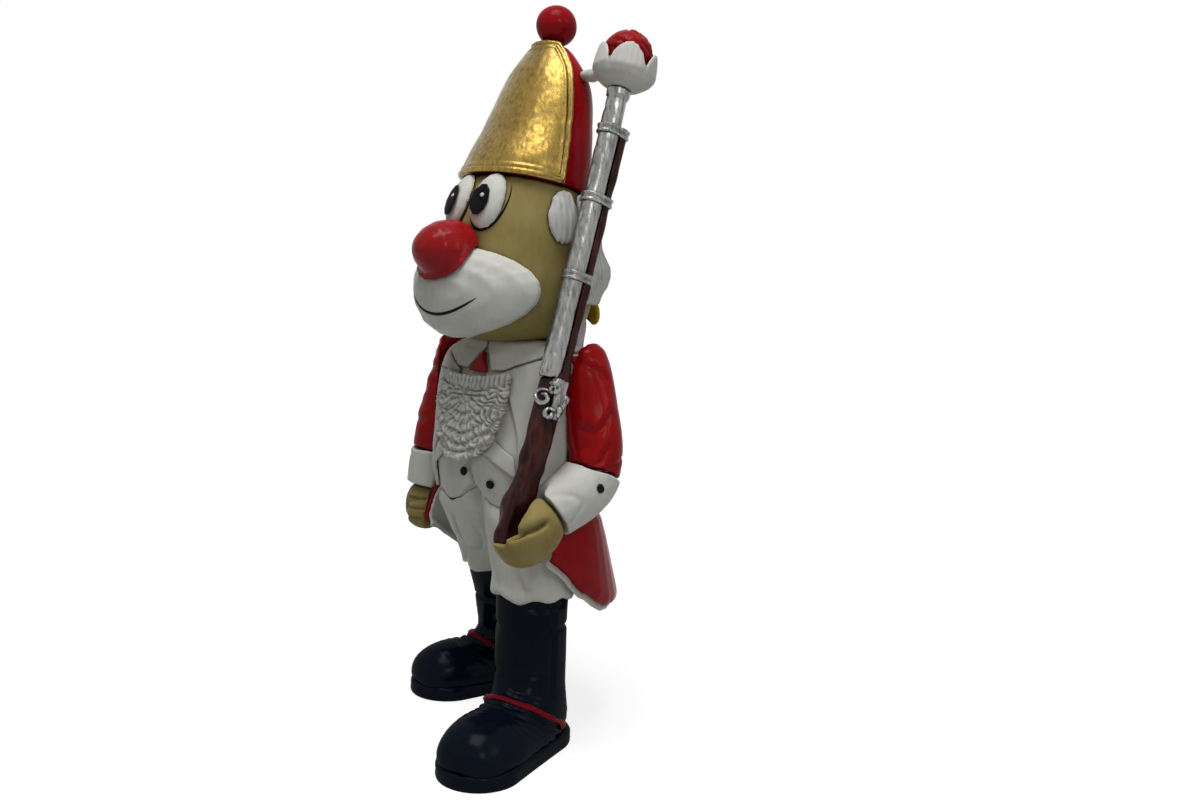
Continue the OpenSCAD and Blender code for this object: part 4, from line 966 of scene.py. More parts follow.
BLACK_PAINT = Paint(
    "black paint", Slot.BLACK, (0.005, 0.005, 0.006), (0.008, 0.008, 0.009), (0.002, 0.002, 0.002),
    wash_amount=0.5, gloss=(0.3, 0.4), coat=0.12, coat_gloss=0.1, shine=0.0,
)
YELLOW_PAINT = Paint(
    "yellow paint", Slot.YELLOW, (0.62, 0.40, 0.03), (0.52, 0.31, 0.02), (0.16, 0.09, 0.01),
)
GOLD_LEAF = Leaf(
    "gold leaf", Slot.GOLD, (0.29, 0.195, 0.047), (0.155, 0.10, 0.025), (0.03, 0.018, 0.004),
)
SILVER_LEAF = Leaf(
    "silver leaf", Slot.SILVER, (0.29, 0.29, 0.285), (0.14, 0.14, 0.138), (0.008, 0.008, 0.010),
    wash_amount=0.95,
)
STOCK_PAINT = Grained(
    "stock paint", Slot.STOCK, (0.082, 0.021, 0.016), (0.030, 0.007, 0.007), (0.005, 0.002, 0.002),
)
STEEL = DrawnSteel("drawn steel", Slot.STEEL, (0.62, 0.62, 0.63))


class Assembly:
    """What every sub-assembly shares: it dresses its pieces and counts them."""

    pieces: ClassVar[list[str]] = []

    def dress(self, skin: Skin, node: str, finish: Finish, name: str = "") -> None:
        """Turns a worked surface into a piece that stands for a node.

        Args:
            skin: The surface.
            node: The CAD node that it stands for, or that it is laid on.
            finish: The finish that it wears.
            name: Name of a piece that is laid on the node, and nothing for one that stands for it.
        """
        title = name or f"painted_{node}"
        piece = bpy.data.objects.new(title, skin.mesh(title))
        bpy.context.scene.collection.objects.link(piece)
        piece.data.materials.append(finish.material())
        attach(piece, BODY)
        if not name:
            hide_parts(node)
        Assembly.pieces.append(title)
        LOG.info("%s: %d faces of %s", title, len(skin.faces), finish.name)

    def cast(
        self, node: str, cell: float, rounds: int, relief: float, stretch: Point, shift: float
    ) -> Skin:
        """Copies a solid as a net and makes it a little uneven.

        Args:
            node: Name of the CAD node.
            cell: Width of a quad in millimetres.
            rounds: How many times the net is smoothed.
            relief: Height of the unevenness in millimetres.
            stretch: Waves per millimetre along x, y and z.
            shift: Moves to another part of the noise.

        Returns:
            The net.
        """
        skin = Skin.of_node(node, cell, rounds)
        return skin.lift(relief * skin.grain(stretch, shift))

    def build(self) -> None:
        """Builds and dresses the sub-assembly's pieces."""
        raise NotImplementedError


@dataclass
class Boots(Assembly):
    """Two tall boots with soles, and a red cord over each instep."""

    cell: float = 0.8
    cord_cell: float = 0.36
    fold: float = 1.1
    seam: float = 0.5
    seam_turn: float = -6.0
    seam_half: float = 3.5
    welt: float = 0.7
    welt_turn: float = 9.0
    welt_half: float = 5.0
    ridge: float = 2.5
    ridge_height: float = 0.75
    ridge_reach: float = 4.0
    ridge_top: float = 60.0
    cord_drop: Pair = (1.2, 4.4)
    cord_gap: float = 0.3
    sink: float = 1.4
    ankle: float = 20.0
    sole_steps: int = 160
    sole_edge: tuple[Pair, ...] = (
        (0.9, 0.0), (0.3, 0.02), (0.02, 0.14), (0.0, 0.3), (0.12, 0.48),
        (0.02, 0.62), (0.05, 0.8), (0.45, 0.92), (1.2, 1.0),
    )

    def build(self) -> None:
        """Builds soles, boots and cords on both sides."""
        for side in Side:
            self.sole(side)
            cord = self.cord(side)
            boot = self.boot(side, cord)
            cord.settled(boot.tree(), self.cord_gap)
            self.dress(cord, f"{side.word}_boot_cord", CORD_PAINT)

    def sole(self, side: Side) -> None:
        """A thick sole with rounded edges and a groove round it, pared by hand."""
        node = f"{side.word}_sole"
        low, high = node_box(node)
        middle = (low + high) / 2
        axis = Axis((middle[0], middle[1], low[2]), (middle[0], middle[1], high[2]))
        turns = full_turn(self.sole_steps)
        outline = axis.radii([node_tree(node)], [middle[2]], turns)[0]
        thick = high[2] - low[2]
        rings = [axis.ring(share * thick, turns, outline - inset) for inset, share in self.sole_edge]
        skin = lofted(np.array(rings))
        skin.lift(0.12 * skin.grain((0.09, 0.09, 0.3), shift=3.0) * (skin.z > 0.3))
        self.dress(skin, node, BOOT_PAINT)

    def boot(self, side: Side, cord: Skin) -> Skin:
        """A boot with slack folds in its shaft, a seam down its outer side and ridges under its cord."""
        node = f"{side.word}_boot"
        skin = Skin.of_node(node, self.cell, rounds=18)
        low, high = node_box(node)
        skin.points[:, 2] -= self.sink * held((low[2] + 3 - skin.z) / 3)
        top = skin.points[skin.z > high[2] - 6].mean(axis=0)
        foot = skin.points[np.abs(skin.z - self.ankle - 8) < 3].mean(axis=0)
        axis = Axis(foot, top)
        height, turn, _ = axis.measure(skin.points)
        outer = turn if side is Side.LEFT else (180 - turn) % 360
        outer = (outer + 180) % 360 - 180
        shaft = held((skin.z - self.ankle + 2) / 6)
        slack = skin.folds((0.03, 0.03, 0.15), width=0.11, shift=2.0 + side.value)
        wander = outer - self.seam_turn - 2.5 * skin.grain((0.0, 0.0, 0.08), shift=4.0)
        stitch = bell(wander, self.seam_half) - self.welt * bell(wander - self.welt_turn, self.welt_half)
        skin.lift(-self.fold * shaft * slack - self.seam * shaft * stitch)
        tree = cord.tree()
        found = [tree.find_nearest(Vector(point)) for point in skin.points]
        away = np.array([far for *_, far in found])
        below = np.array([place[2] for place, *_ in found]) - skin.z
        uneven = away + skin.grain((0.2, 0.2, 0.2), shift=6.0)
        ridges = np.cos(2 * math.pi * uneven / self.ridge) * np.exp(-away / self.ridge_reach)
        low_down = np.clip(0.4 + below, 0.25, 1) * held(1 - height / self.ridge_top)
        skin.lift(self.ridge_height * ridges * low_down)
        skin.lift(0.25 * skin.grain((0.07, 0.07, 0.09), shift=9.0))
        self.dress(skin, node, BOOT_PAINT)
        return skin

    def cord(self, side: Side) -> Skin:
        """A thin cord that slants down to the heel, before it is laid on its boot."""
        node = f"{side.word}_boot_cord"
        skin = Skin.of_node(node, self.cord_cell, rounds=8)
        low, high = node_box(node)
        share = (skin.y - low[1]) / (high[1] - low[1])
        skin.points[:, 2] -= mixed(*self.cord_drop, share)
        skin.lift(0.15 * skin.grain((0.25, 0.25, 0.25), shift=5.0))
        return skin


@dataclass(frozen=True)
class Waist:
    """The waistcoat's cut-away front edge, which rises to a point in the middle between two flaps."""

    middle: float = 2.0
    rise: float = 6.5
    half: float = 8.0
    flap: float = 13.5
    flap_half: float = 4.0
    drop: float = 1.6
    reach: float = 8.0
    front: float = 8.0

    def shape(self, skin: Skin, level: float) -> None:
        """Moves the edge at a level, and the cloth near it, on the waistcoat or on the breeches alike."""
        across = np.abs(skin.x - self.middle)
        point = self.rise * held(1 - across / self.half)
        edge = point - self.drop * bell(across - self.flap, self.flap_half)
        front = held(-skin.y / self.front)
        skin.points[:, 2] += edge * front * bell(skin.z - level, self.reach)


@dataclass
class Breeches(Assembly):
    """Two white legs, gathered in waves where they meet the boots."""

    cell: float = 0.7
    gather: float = 1.5
    gather_height: float = 4.0
    fold_height: float = 10.0
    hem_height: float = 3.0
    crease: float = 0.9

    def build(self) -> None:
        """Builds both legs."""
        for side in Side:
            self.leg(side)

    def leg(self, side: Side) -> None:
        """A leg with a wavy hem and folds that run up from it."""
        node = f"{side.word}_breeches"
        skin = Skin.of_node(node, self.cell, rounds=12)
        low, high = node_box(node)
        middle = skin.points[skin.z < low[2] + 6].mean(axis=0)
        turn = np.arctan2(skin.y - middle[1], skin.x - middle[0])
        above = skin.z - low[2]
        wave = np.sin(6 * turn + 1.6 * np.sin(2 * turn + side.value)) * (0.7 + 0.3 * np.sin(3 * turn))
        skin.points[:, 2] += self.gather * bell(above, self.gather_height) * (wave - 0.4)
        swell = 0.45 * wave + 0.5 * bell(above, self.hem_height)
        skin.lift(swell * bell(above, self.fold_height))
        skin.lift(0.35 * skin.grain((0.09, 0.09, 0.05), shift=4.0 * side.value))
        skin.lift(-self.crease * skin.folds((0.08, 0.08, 0.035), width=0.12, shift=11.0 + side.value))
        Waist().shape(skin, high[2])
        self.dress(skin, node, WHITE_PAINT)


@dataclass
class Body(Assembly):
    """The white waistcoat with its crossed belts, collar and neckcloth."""

    cell: float = 0.75
    trim_cell: float = 0.38
    seam: float = 0.6
    seam_half: float = 0.7
    edge: float = 0.25
    edge_height: float = 2.5
    tuck: float = 1.2
    tuck_height: float = 2.5

    def build(self) -> None:
        """Builds the waistcoat, belts, collar leaves and neckcloth."""
        self.waistcoat()
        self.trim("neckcloth", RED_PAINT, (0.3, 0.3, 0.15))
        for side in Side:
            self.trim(f"{side.word}_belt", WHITE_PAINT, (0.15, 0.15, 0.15))
            self.trim(f"{side.word}_collar", WHITE_PAINT, (0.12, 0.12, 0.2))

    def waistcoat(self) -> None:
        """The torso with a seam down its front, soft folds and a cut-away lower edge."""
        skin = Skin.of_node("waistcoat", self.cell, rounds=16)
        low, _ = node_box("waistcoat")
        front = held(-skin.normals()[:, 1] * 2)
        seam = self.seam * bell(skin.x - Waist.middle, self.seam_half)
        edge = self.edge * bell(skin.z - low[2], self.edge_height)
        skin.lift((edge - seam) * front + 0.3 * skin.grain((0.08, 0.08, 0.06), shift=1.0))
        Waist().shape(skin, low[2])
        self.dress(skin, "waistcoat", WHITE_PAINT)

    def trim(self, node: str, finish: Finish, stretch: Point) -> None:
        """A thin strip of cloth, a little uneven along its edges."""
        skin = Skin.of_node(node, self.trim_cell, rounds=4)
        _, high = node_box(node)
        if "collar" in node:
            skin.points[:, 2] += self.tuck * held(1 - (high[2] - skin.z) / self.tuck_height)
        skin.lift(0.14 * skin.grain(stretch, shift=3.0))
        self.dress(skin, node, finish)


@dataclass
class Coat(Assembly):
    """The red coat: back, tails with their white linings, lapels and buttons."""

    cell: float = 0.55
    lining_cell: float = 0.4
    button_cell: float = 0.24
    forward: float = 6.0
    forward_depth: float = 12.0
    seam: float = 0.45
    seam_half: float = 0.8
    wave: float = 0.5
    wave_pitch: float = 0.35
    wave_height: float = 40.0
    hem_power: float = 1.3
    hem_steps: int = 40
    roll: float = 1.8
    roll_height: float = 4.0
    hem_shares: tuple[float, ...] = (0.0, 0.08, 0.14, 0.2, 0.32, 0.44, 0.57, 0.66, 0.75, 0.87)
    hem_drops: ClassVar[dict[Side, tuple[float, ...]]] = {
        Side.LEFT: (-3.0, 1.0, 5.0, 8.0, 9.0, 8.0, 4.5, 2.0, 0.5, 0.0),
        Side.RIGHT: (-3.0, -2.0, -1.0, 0.0, 0.5, 1.0, 1.0, 0.5, 0.0, 0.0),
    }
    button_shift: Point = (-3.3, -3.6, 0.0)
    button_gap: float = 0.35

    def build(self) -> None:
        """Builds the back, tails, linings, lapels and buttons."""
        self.back()
        for side in Side:
            self.tail(side)
        lapels = [self.lapel(side) for side in Side]
        for node in ("waistcoat_buttons", "lapel_buttons"):
            skin = Skin.of_node(node, self.button_cell, rounds=4)
            if node == "lapel_buttons":
                skin.points += np.array(self.button_shift) * (skin.x > 0)[:, None]
                skin.settled(Skin.joined(lapels).tree(), self.button_gap)
            skin.lift(0.06 * skin.grain((0.5, 0.5, 0.5), shift=8.0))
            self.dress(skin, node, BLACK_PAINT)

    def back(self) -> None:
        """The back of the coat with its middle seam."""
        skin = Skin.of_node("coat_back", self.cell, rounds=10)
        behind = held(skin.normals()[:, 1] * 2)
        seam = self.seam * bell(skin.x, self.seam_half) * behind
        skin.lift(0.3 * skin.grain((0.06, 0.06, 0.05), shift=2.0) - seam)
        self.dress(skin, "coat_back", RED_PAINT)

    def tail(self, side: Side) -> None:
        """A tail that hangs in shallow folds, and its lining."""
        node = f"{side.word}_tail"
        skin = Skin.of_node(node, self.cell, rounds=5)
        hem = self.hem(skin)
        self.hang(skin, side, hem)
        self.dress(skin, node, RED_PAINT)
        node = f"{side.word}_tail_lining"
        skin = Skin.of_node(node, self.lining_cell, rounds=12)
        self.hang(skin, side, hem)
        self.dress(skin, node, WHITE_PAINT)

    def hem(self, skin: Skin) -> np.ndarray:
        """How low the hem hangs at even steps from the front of a tail to its back."""
        share = (skin.y - skin.y.min()) / np.ptp(skin.y)
        lowest = np.full(self.hem_steps, skin.z.max())
        np.minimum.at(lowest, np.round(share * (self.hem_steps - 1)).astype(int), skin.z)
        return blurred(lowest[None], 2)[0]

    def hang(self, skin: Skin, side: Side, hem: np.ndarray) -> None:
        """Bends the tail and its lining in the same folds, lowers the hem and rolls it in.

        Args:
            skin: The tail or its lining.
            side: The side that it hangs on.
            hem: How low the red hem hangs, at even steps from front to back.
        """
        low, high = node_box(f"{side.word}_tail")
        drop = held((high[2] - skin.z) / self.wave_height)
        wave = np.sin(skin.x * self.wave_pitch * side.value + 0.5)
        share = held((skin.y - low[1]) / (high[1] - low[1]))
        lowest = np.interp(share, np.linspace(0, 1, self.hem_steps), hem)
        down = held((high[2] - skin.z) / (high[2] - lowest))
        edge = held(1 - (skin.z - lowest) / self.roll_height) ** 2
        outward = skin.points[:, :2] / np.linalg.norm(skin.points[:, :2], axis=1)[:, None]
        skin.points[:, 1] += self.wave * drop * wave
        skin.points[:, 2] -= np.interp(share, self.hem_shares, self.hem_drops[side]) * down**self.hem_power
        skin.points[:, :2] -= self.roll * outward * edge[:, None]
        if side is Side.LEFT:
            skin.points[:, 1] -= self.forward * held(1 - (skin.y - low[1]) / self.forward_depth)

    def lapel(self, side: Side) -> Skin:
        """A white lapel that lies flat on the chest."""
        node = f"{side.word}_lapel"
        skin = self.cast(
            node, self.cell, rounds=5, relief=0.22, stretch=(0.08, 0.08, 0.05), shift=5.0 * side.value
        )
        self.dress(skin, node, WHITE_PAINT)
        return skin


@dataclass
class Jabot(Assembly):
    """The white frilled jabot: a comb of pleats along its top, and tongues that fan out below it."""

    cell: float = 0.32
    tier: float = 3.3
    tongue: float = 1.9
    depth: float = 2.2
    comb: float = 0.8
    comb_rise: float = 0.08
    comb_blend: float = 0.03
    fan_drop: float = 0.06
    fewest: int = 6
    stagger: float = 2.4
    round_power: float = 0.8
    wander: float = 1.1
    sway: float = 0.22
    pleat: float = 0.75
    pleat_spread: float = 0.35
    gather: float = 0.5
    gather_half: float = 0.035
    scallop: float = 1.2
    sag: float = 2.2
    sag_start: float = 0.6

    def build(self) -> None:
        """Builds the frills on the jabot's own form."""
        skin = Skin.of_node("jabot", self.cell, rounds=30)
        low, high = node_box("jabot")
        middle = (low + high) / 2
        across = skin.x - middle[0]
        share = (skin.z - low[2]) / (high[2] - low[2])
        half = (high[0] - low[0]) / 2
        dip = 1 - np.clip(across / half, -1, 1) ** 2
        up = skin.z - mixed(low[2], high[2], self.comb - self.fan_drop)
        warp = self.wander * skin.grain((0.2, 0.0, 0.2), shift=3.0)
        reach = np.hypot(across, up) + warp
        turn = np.arctan2(across, -up) + self.sway * skin.grain((0.28, 0.0, 0.28), shift=9.0)
        row = np.floor(reach / self.tier)
        within = reach / self.tier - row
        length = 2 * np.pi * (row + 0.6) * self.tier
        count = np.maximum(self.fewest, np.round(length / self.tongue))
        ridge = np.abs(np.cos((turn * count + self.stagger * row) / 2)) ** self.round_power
        tongues = ridge * (0.35 + 0.65 * held(within * 1.6) * held((1 - within) * 5))
        brow = self.comb + self.comb_rise * (1 - dip)
        above = held((share - brow + 0.02 * warp) / self.comb_blend)
        fan = across * (1 + self.pleat_spread * (1 - share)) + 0.5 * skin.grain((0.2, 0.0, 0.1), shift=5.0)
        pleats = self.pleat * np.abs(np.cos(np.pi * fan / self.tongue)) ** self.round_power
        gather = self.gather * bell(share - brow, self.gather_half)
        frill = mixed(tongues, pleats, above) - gather
        front = held(-skin.normals()[:, 1] * 1.6)
        skin.points[:, 0] += self.scallop * (1 - front) * np.sign(across) * (ridge - 0.5)
        hang = held((share - self.sag_start) / (1 - self.sag_start)) ** 2
        skin.points[:, 2] -= self.sag * dip * hang
        skin.lift(self.depth * front * (frill - 0.4))
        self.dress(skin.soften(1), "jabot", WHITE_PAINT)


@dataclass
class Arms(Assembly):
    """Two red sleeves with white cuffs and closed hands."""

    cell: float = 0.65
    cuff_cell: float = 0.5
    hand_cell: float = 0.42
    button_cell: float = 0.24
    fold: float = 0.55
    fold_half: float = 1.2
    swell: float = 0.7
    swell_half: float = 2.2
    swell_shift: ClassVar[Point] = (0.0, 0.0, 2.8)
    slack: float = 0.85
    edge: float = 0.7
    edge_height: float = 3.0
    reach: float = 11.0
    draw: float = 3.4
    tip_drop: float = 1.6
    knuckle: float = 0.7
    knuckle_half: float = 0.55
    creases: ClassVar[tuple[tuple[Point, ...], ...]] = (
        ((34.0, -2.5, 132.5), (38.6, 1.1, 129.6), (40.8, 3.6, 127.8), (41.9, 6.3, 125.0)),
        ((40.0, -3.5, 114.6), (43.7, -0.6, 112.1), (45.3, 1.8, 112.5), (45.3, 5.5, 115.5)),
        ((39.1, -4.1, 102.2), (44.8, -3.2, 101.6), (46.8, -0.7, 103.0), (47.0, 2.0, 106.4)),
        ((42.5, 8.0, 109.0), (45.0, 7.0, 106.0), (47.0, 5.0, 101.0)),
    )
    palm: ClassVar[tuple[Point, ...]] = (
        (39.2, -31.4, 76.4), (41.8, -28.1, 77.9), (43.0, -26.4, 78.6),
        (43.9, -24.3, 79.4), (44.6, -22.0, 80.6),
    )
    thumb_foot: float = 75.4
    finger_foot: float = 72.0
    knuckles: ClassVar[tuple[float, ...]] = (-3.6, 0.2, 4.0)
    seam_drop: ClassVar[dict[Side, float]] = {Side.LEFT: 7.0, Side.RIGHT: 0.0}
    button_shift: ClassVar[Point] = (-2.4, -2.6, -1.4)
    button_gap: float = 0.35

    def build(self) -> None:
        """Builds sleeves, cuffs and hands."""
        for side in Side:
            self.sleeve(side)
        cuffs = [self.cuff(side) for side in Side]
        buttons = Skin.of_node("cuff_buttons", self.button_cell, rounds=4)
        buttons.points += np.array(self.button_shift) * (buttons.x > 0)[:, None]
        buttons.settled(Skin.joined(cuffs).tree(), self.button_gap)
        self.dress(buttons, "cuff_buttons", BLACK_PAINT)
        self.left_hand()
        self.right_hand()

    def sleeve(self, side: Side) -> None:
        """A sleeve with creases at the shoulder and across the elbow."""
        node = f"{side.word}_sleeve"
        skin = Skin.of_node(node, self.cell, rounds=12)
        for crease in self.creases:
            path = side.mirror(crease)
            dent = skin.near(path, self.fold_half)
            swell = skin.near(path + self.swell_shift, self.swell_half)
            skin.lift(-self.fold * dent + self.swell * self.fold * swell)
        slack = skin.folds((0.05, 0.05, 0.12), width=0.12, shift=4.0 + side.value)
        skin.lift(-self.slack * slack + 0.4 * skin.grain((0.09, 0.09, 0.06), shift=3.0))
        self.slide(skin, side)
        self.dress(skin, node, RED_PAINT)

    def cuff(self, side: Side) -> Skin:
        """A turned-back cuff with an uneven upper edge."""
        node = f"{side.word}_cuff"
        skin = Skin.of_node(node, self.cuff_cell, rounds=6)
        _, high = node_box(node)
        edge = self.edge * bell(high[2] - skin.z, self.edge_height)
        skin.points[:, 2] += edge * skin.grain((0.14, 0.14, 0.0), shift=4.0)
        skin.lift(0.3 * skin.grain((0.12, 0.12, 0.1), shift=7.0 * side.value))
        skin.lift(-0.4 * skin.folds((0.07, 0.07, 0.07), width=0.1, shift=5.0 * side.value))
        self.slide(skin, side)
        self.dress(skin, node, WHITE_PAINT)
        return skin

    def slide(self, skin: Skin, side: Side) -> None:
        """Lowers the seam between sleeve and cuff, most at the front, on either piece alike."""
        cuff, hand = f"{side.word}_cuff", f"{side.word}_hand"
        heading = node_middle(hand) - node_middle(cuff)
        heading /= np.linalg.norm(heading)
        start = (node_points(cuff) @ heading).min() + 1.5
        share = bell(skin.points @ heading - start, self.reach)
        front = 1 + 0.4 * np.clip(-(skin.y + 5) / 8, -1, 1)
        skin.points[:, 2] -= self.seam_drop[side] * share * front

    def left_hand(self) -> None:
        """The hand that holds the musket, with a fold between its thumb and palm."""
        skin = Skin.of_node("left_hand", self.hand_cell, rounds=45)
        across = skin.points @ LOCK_ALONG
        thumb = held((skin.z - self.thumb_foot) / 1.6)
        edge = across[thumb > 0.9].min()
        pull = self.draw * held(1 - (across - edge) / 9) * thumb
        skin.points += LOCK_ALONG * pull[:, None]
        tip = held(1 - (across - across.min()) / 4) * (1 - thumb) * held((skin.z - self.finger_foot) / 3)
        skin.points[:, 2] -= self.tip_drop * tip
        palm = np.array(self.palm)
        ball = skin.near(palm + (0, 0.5, 3.6), width=2.8)
        skin.lift(ball - 2.0 * skin.near(palm, width=1.0))
        skin.lift(0.2 * skin.grain((0.15, 0.15, 0.15), shift=2.0))
        self.dress(skin, "left_hand", OLIVE_PAINT)

    def right_hand(self) -> None:
        """The closed fist, with lines between its fingers."""
        skin = Skin.of_node("right_hand", self.hand_cell, rounds=14)
        low, high = node_box("right_hand")
        middle = (low + high) / 2
        front = held(-skin.normals()[:, 1] * 2)
        for offset in self.knuckles:
            line = bell(skin.z - middle[2] - offset, self.knuckle_half)
            skin.lift(-self.knuckle * line * front * held((skin.x - middle[0] + 4) / 3))
        thumb = [
            (middle[0] + 3, low[1], high[2] - 5),
            (middle[0] - 2, low[1], middle[2] + 2),
            (middle[0] - 4, low[1] + 2, low[2] + 4),
        ]
        skin.lift(0.2 * skin.grain((0.15, 0.15, 0.15), shift=2.0) - skin.near(thumb, width=1.6))
        self.dress(skin, "right_hand", OLIVE_PAINT)


@dataclass
class Head(Assembly):
    """The head with a plain clown face: oval eyes with painted lines, a ball nose and a calm smile."""

    cell: float = 0.85
    face_cell: float = 0.5
    nose_cell: float = 0.36
    eye_cell: float = 0.34
    pupil_cell: float = 0.22
    line: float = 1.1
    outline: float = 0.8
    line_height: float = 0.3
    glint: float = 0.75
    glint_sides: int = 14
    glint_rings: tuple[Pair, ...] = ((1.0, 0.0), (0.95, 0.16), (0.7, 0.28), (0.3, 0.34))
    steps: int = 61

    def build(self) -> None:
        """Builds the head and its face."""
        head = self.cast("head", self.cell, rounds=24, relief=0.2, stretch=(0.06, 0.06, 0.06), shift=5.0)
        self.dress(head, "head", OLIVE_PAINT)
        patch = self.cast(
            "mouth_patch", self.face_cell, rounds=16, relief=0.15, stretch=(0.08, 0.08, 0.08), shift=2.0
        )
        self.dress(patch, "mouth_patch", WHITE_PAINT)
        self.smile(patch)
        nose = self.cast(
            "nose", self.nose_cell, rounds=24, relief=0.12, stretch=(0.12, 0.12, 0.12), shift=4.0
        )
        self.dress(nose, "nose", NOSE_PAINT)
        for side in Side:
            self.eye(side, head)
        self.pupils()

    def smile(self, patch: Skin) -> None:
        """A calm closed smile, painted as one thin line."""
        low, high = node_box("mouth_patch")
        half = 0.3 * (high[0] - low[0])
        height = mixed(low[2], high[2], 0.36)
        middle = (low[0] + high[0]) / 2
        shares = np.linspace(-1, 1, self.steps)
        spots = [(middle + half * s, low[1] - 30, height + 6.0 * s * s - 3) for s in shares]
        bead = laid_bead(patch.tree(), spots, (0, 1, 0), self.line, self.line_height)
        self.dress(bead, "mouth_patch", BLACK_PAINT, "smile_line")

    def eye(self, side: Side, head: Skin) -> None:
        """One oval white eye, and the thin line painted round it."""
        node = f"{side.word}_eye"
        skin = Skin.of_node(node, self.eye_cell, rounds=8)
        self.dress(skin, node, WHITE_PAINT)
        low, high = node_box(node)
        middle, half = (low + high) / 2, (high - low) / 2 + 0.25
        spots = [
            (middle[0] + half[0] * math.cos(turn), low[1] - 20, middle[2] + half[2] * math.sin(turn))
            for turn in np.linspace(-0.2 * math.pi, 1.2 * math.pi, self.steps) + math.pi
        ]
        bead = laid_bead(head.tree(), spots, (0, 1, 0), self.outline, self.line_height)
        self.dress(bead, node, BLACK_PAINT, f"{side.word}_eye_line")

    def pupils(self) -> None:
        """Two black pupils, each with a small white glint."""
        skin = Skin.of_node("pupils", self.pupil_cell, rounds=5)
        self.dress(skin, "pupils", BLACK_PAINT)
        tree, spots = skin.tree(), []
        for side in Side:
            own = skin.points[skin.x * side.value > 0]
            low, high = own.min(axis=0), own.max(axis=0)
            place = mixed(low, high, 0.64)
            hit, facing, _, _ = tree.ray_cast(Vector((place[0], low[1] - 10, place[2])), Vector((0, 1, 0)))
            spots.append(self.dot(np.array(hit), np.array(facing)))
        self.dress(Skin.joined(spots), "pupils", WHITE_PAINT, "eye_glints")

    def dot(self, place: np.ndarray, facing: np.ndarray) -> Skin:
        """A small round dot of paint on a surface."""
        axis = Axis(place - 0.1 * facing, place + facing)
        turns = full_turn(self.glint_sides)
        rings = [axis.ring(rise, turns, self.glint * wide) for wide, rise in self.glint_rings]
        return lofted(np.array(rings))


@dataclass
class Wig(Assembly):
    """The white wig: side curls, rolled back and a queue tied with a yellow ribbon."""

    cell: float = 0.5
    bow_cell: float = 0.34
    strand: float = 0.45
    lock: float = 2.4

    def build(self) -> None:
        """Builds the wig's pieces."""
        for side in Side:
            self.hair(f"{side.word}_curl", (0.75, 0.75, 0.1))
        self.hair("wig_back", (0.5, 0.5, 0.1))
        self.hair("queue", (0.8, 0.8, 0.08))
        bow = self.cast(
            "queue_bow", self.bow_cell, rounds=5, relief=0.2, stretch=(0.4, 0.4, 0.15), shift=2.0
        )
        self.dress(bow, "queue_bow", YELLOW_PAINT)

    def hair(self, node: str, stretch: Point) -> None:
        """A mass of hair with combed grooves."""
        skin = Skin.of_node(node, self.cell, rounds=10)
        wander = 2.5 * skin.grain((0.12, 0.12, 0.06), shift=3.0)
        round_head = np.arctan2(skin.y, skin.x) * np.hypot(skin.x, skin.y).mean()
        comb = np.cos(2 * math.pi * (round_head + wander) / self.lock)
        skin.lift(self.strand * skin.grain(stretch, shift=6.0) + 0.4 * self.strand * comb)
        self.dress(skin, node, HAIR_PAINT)


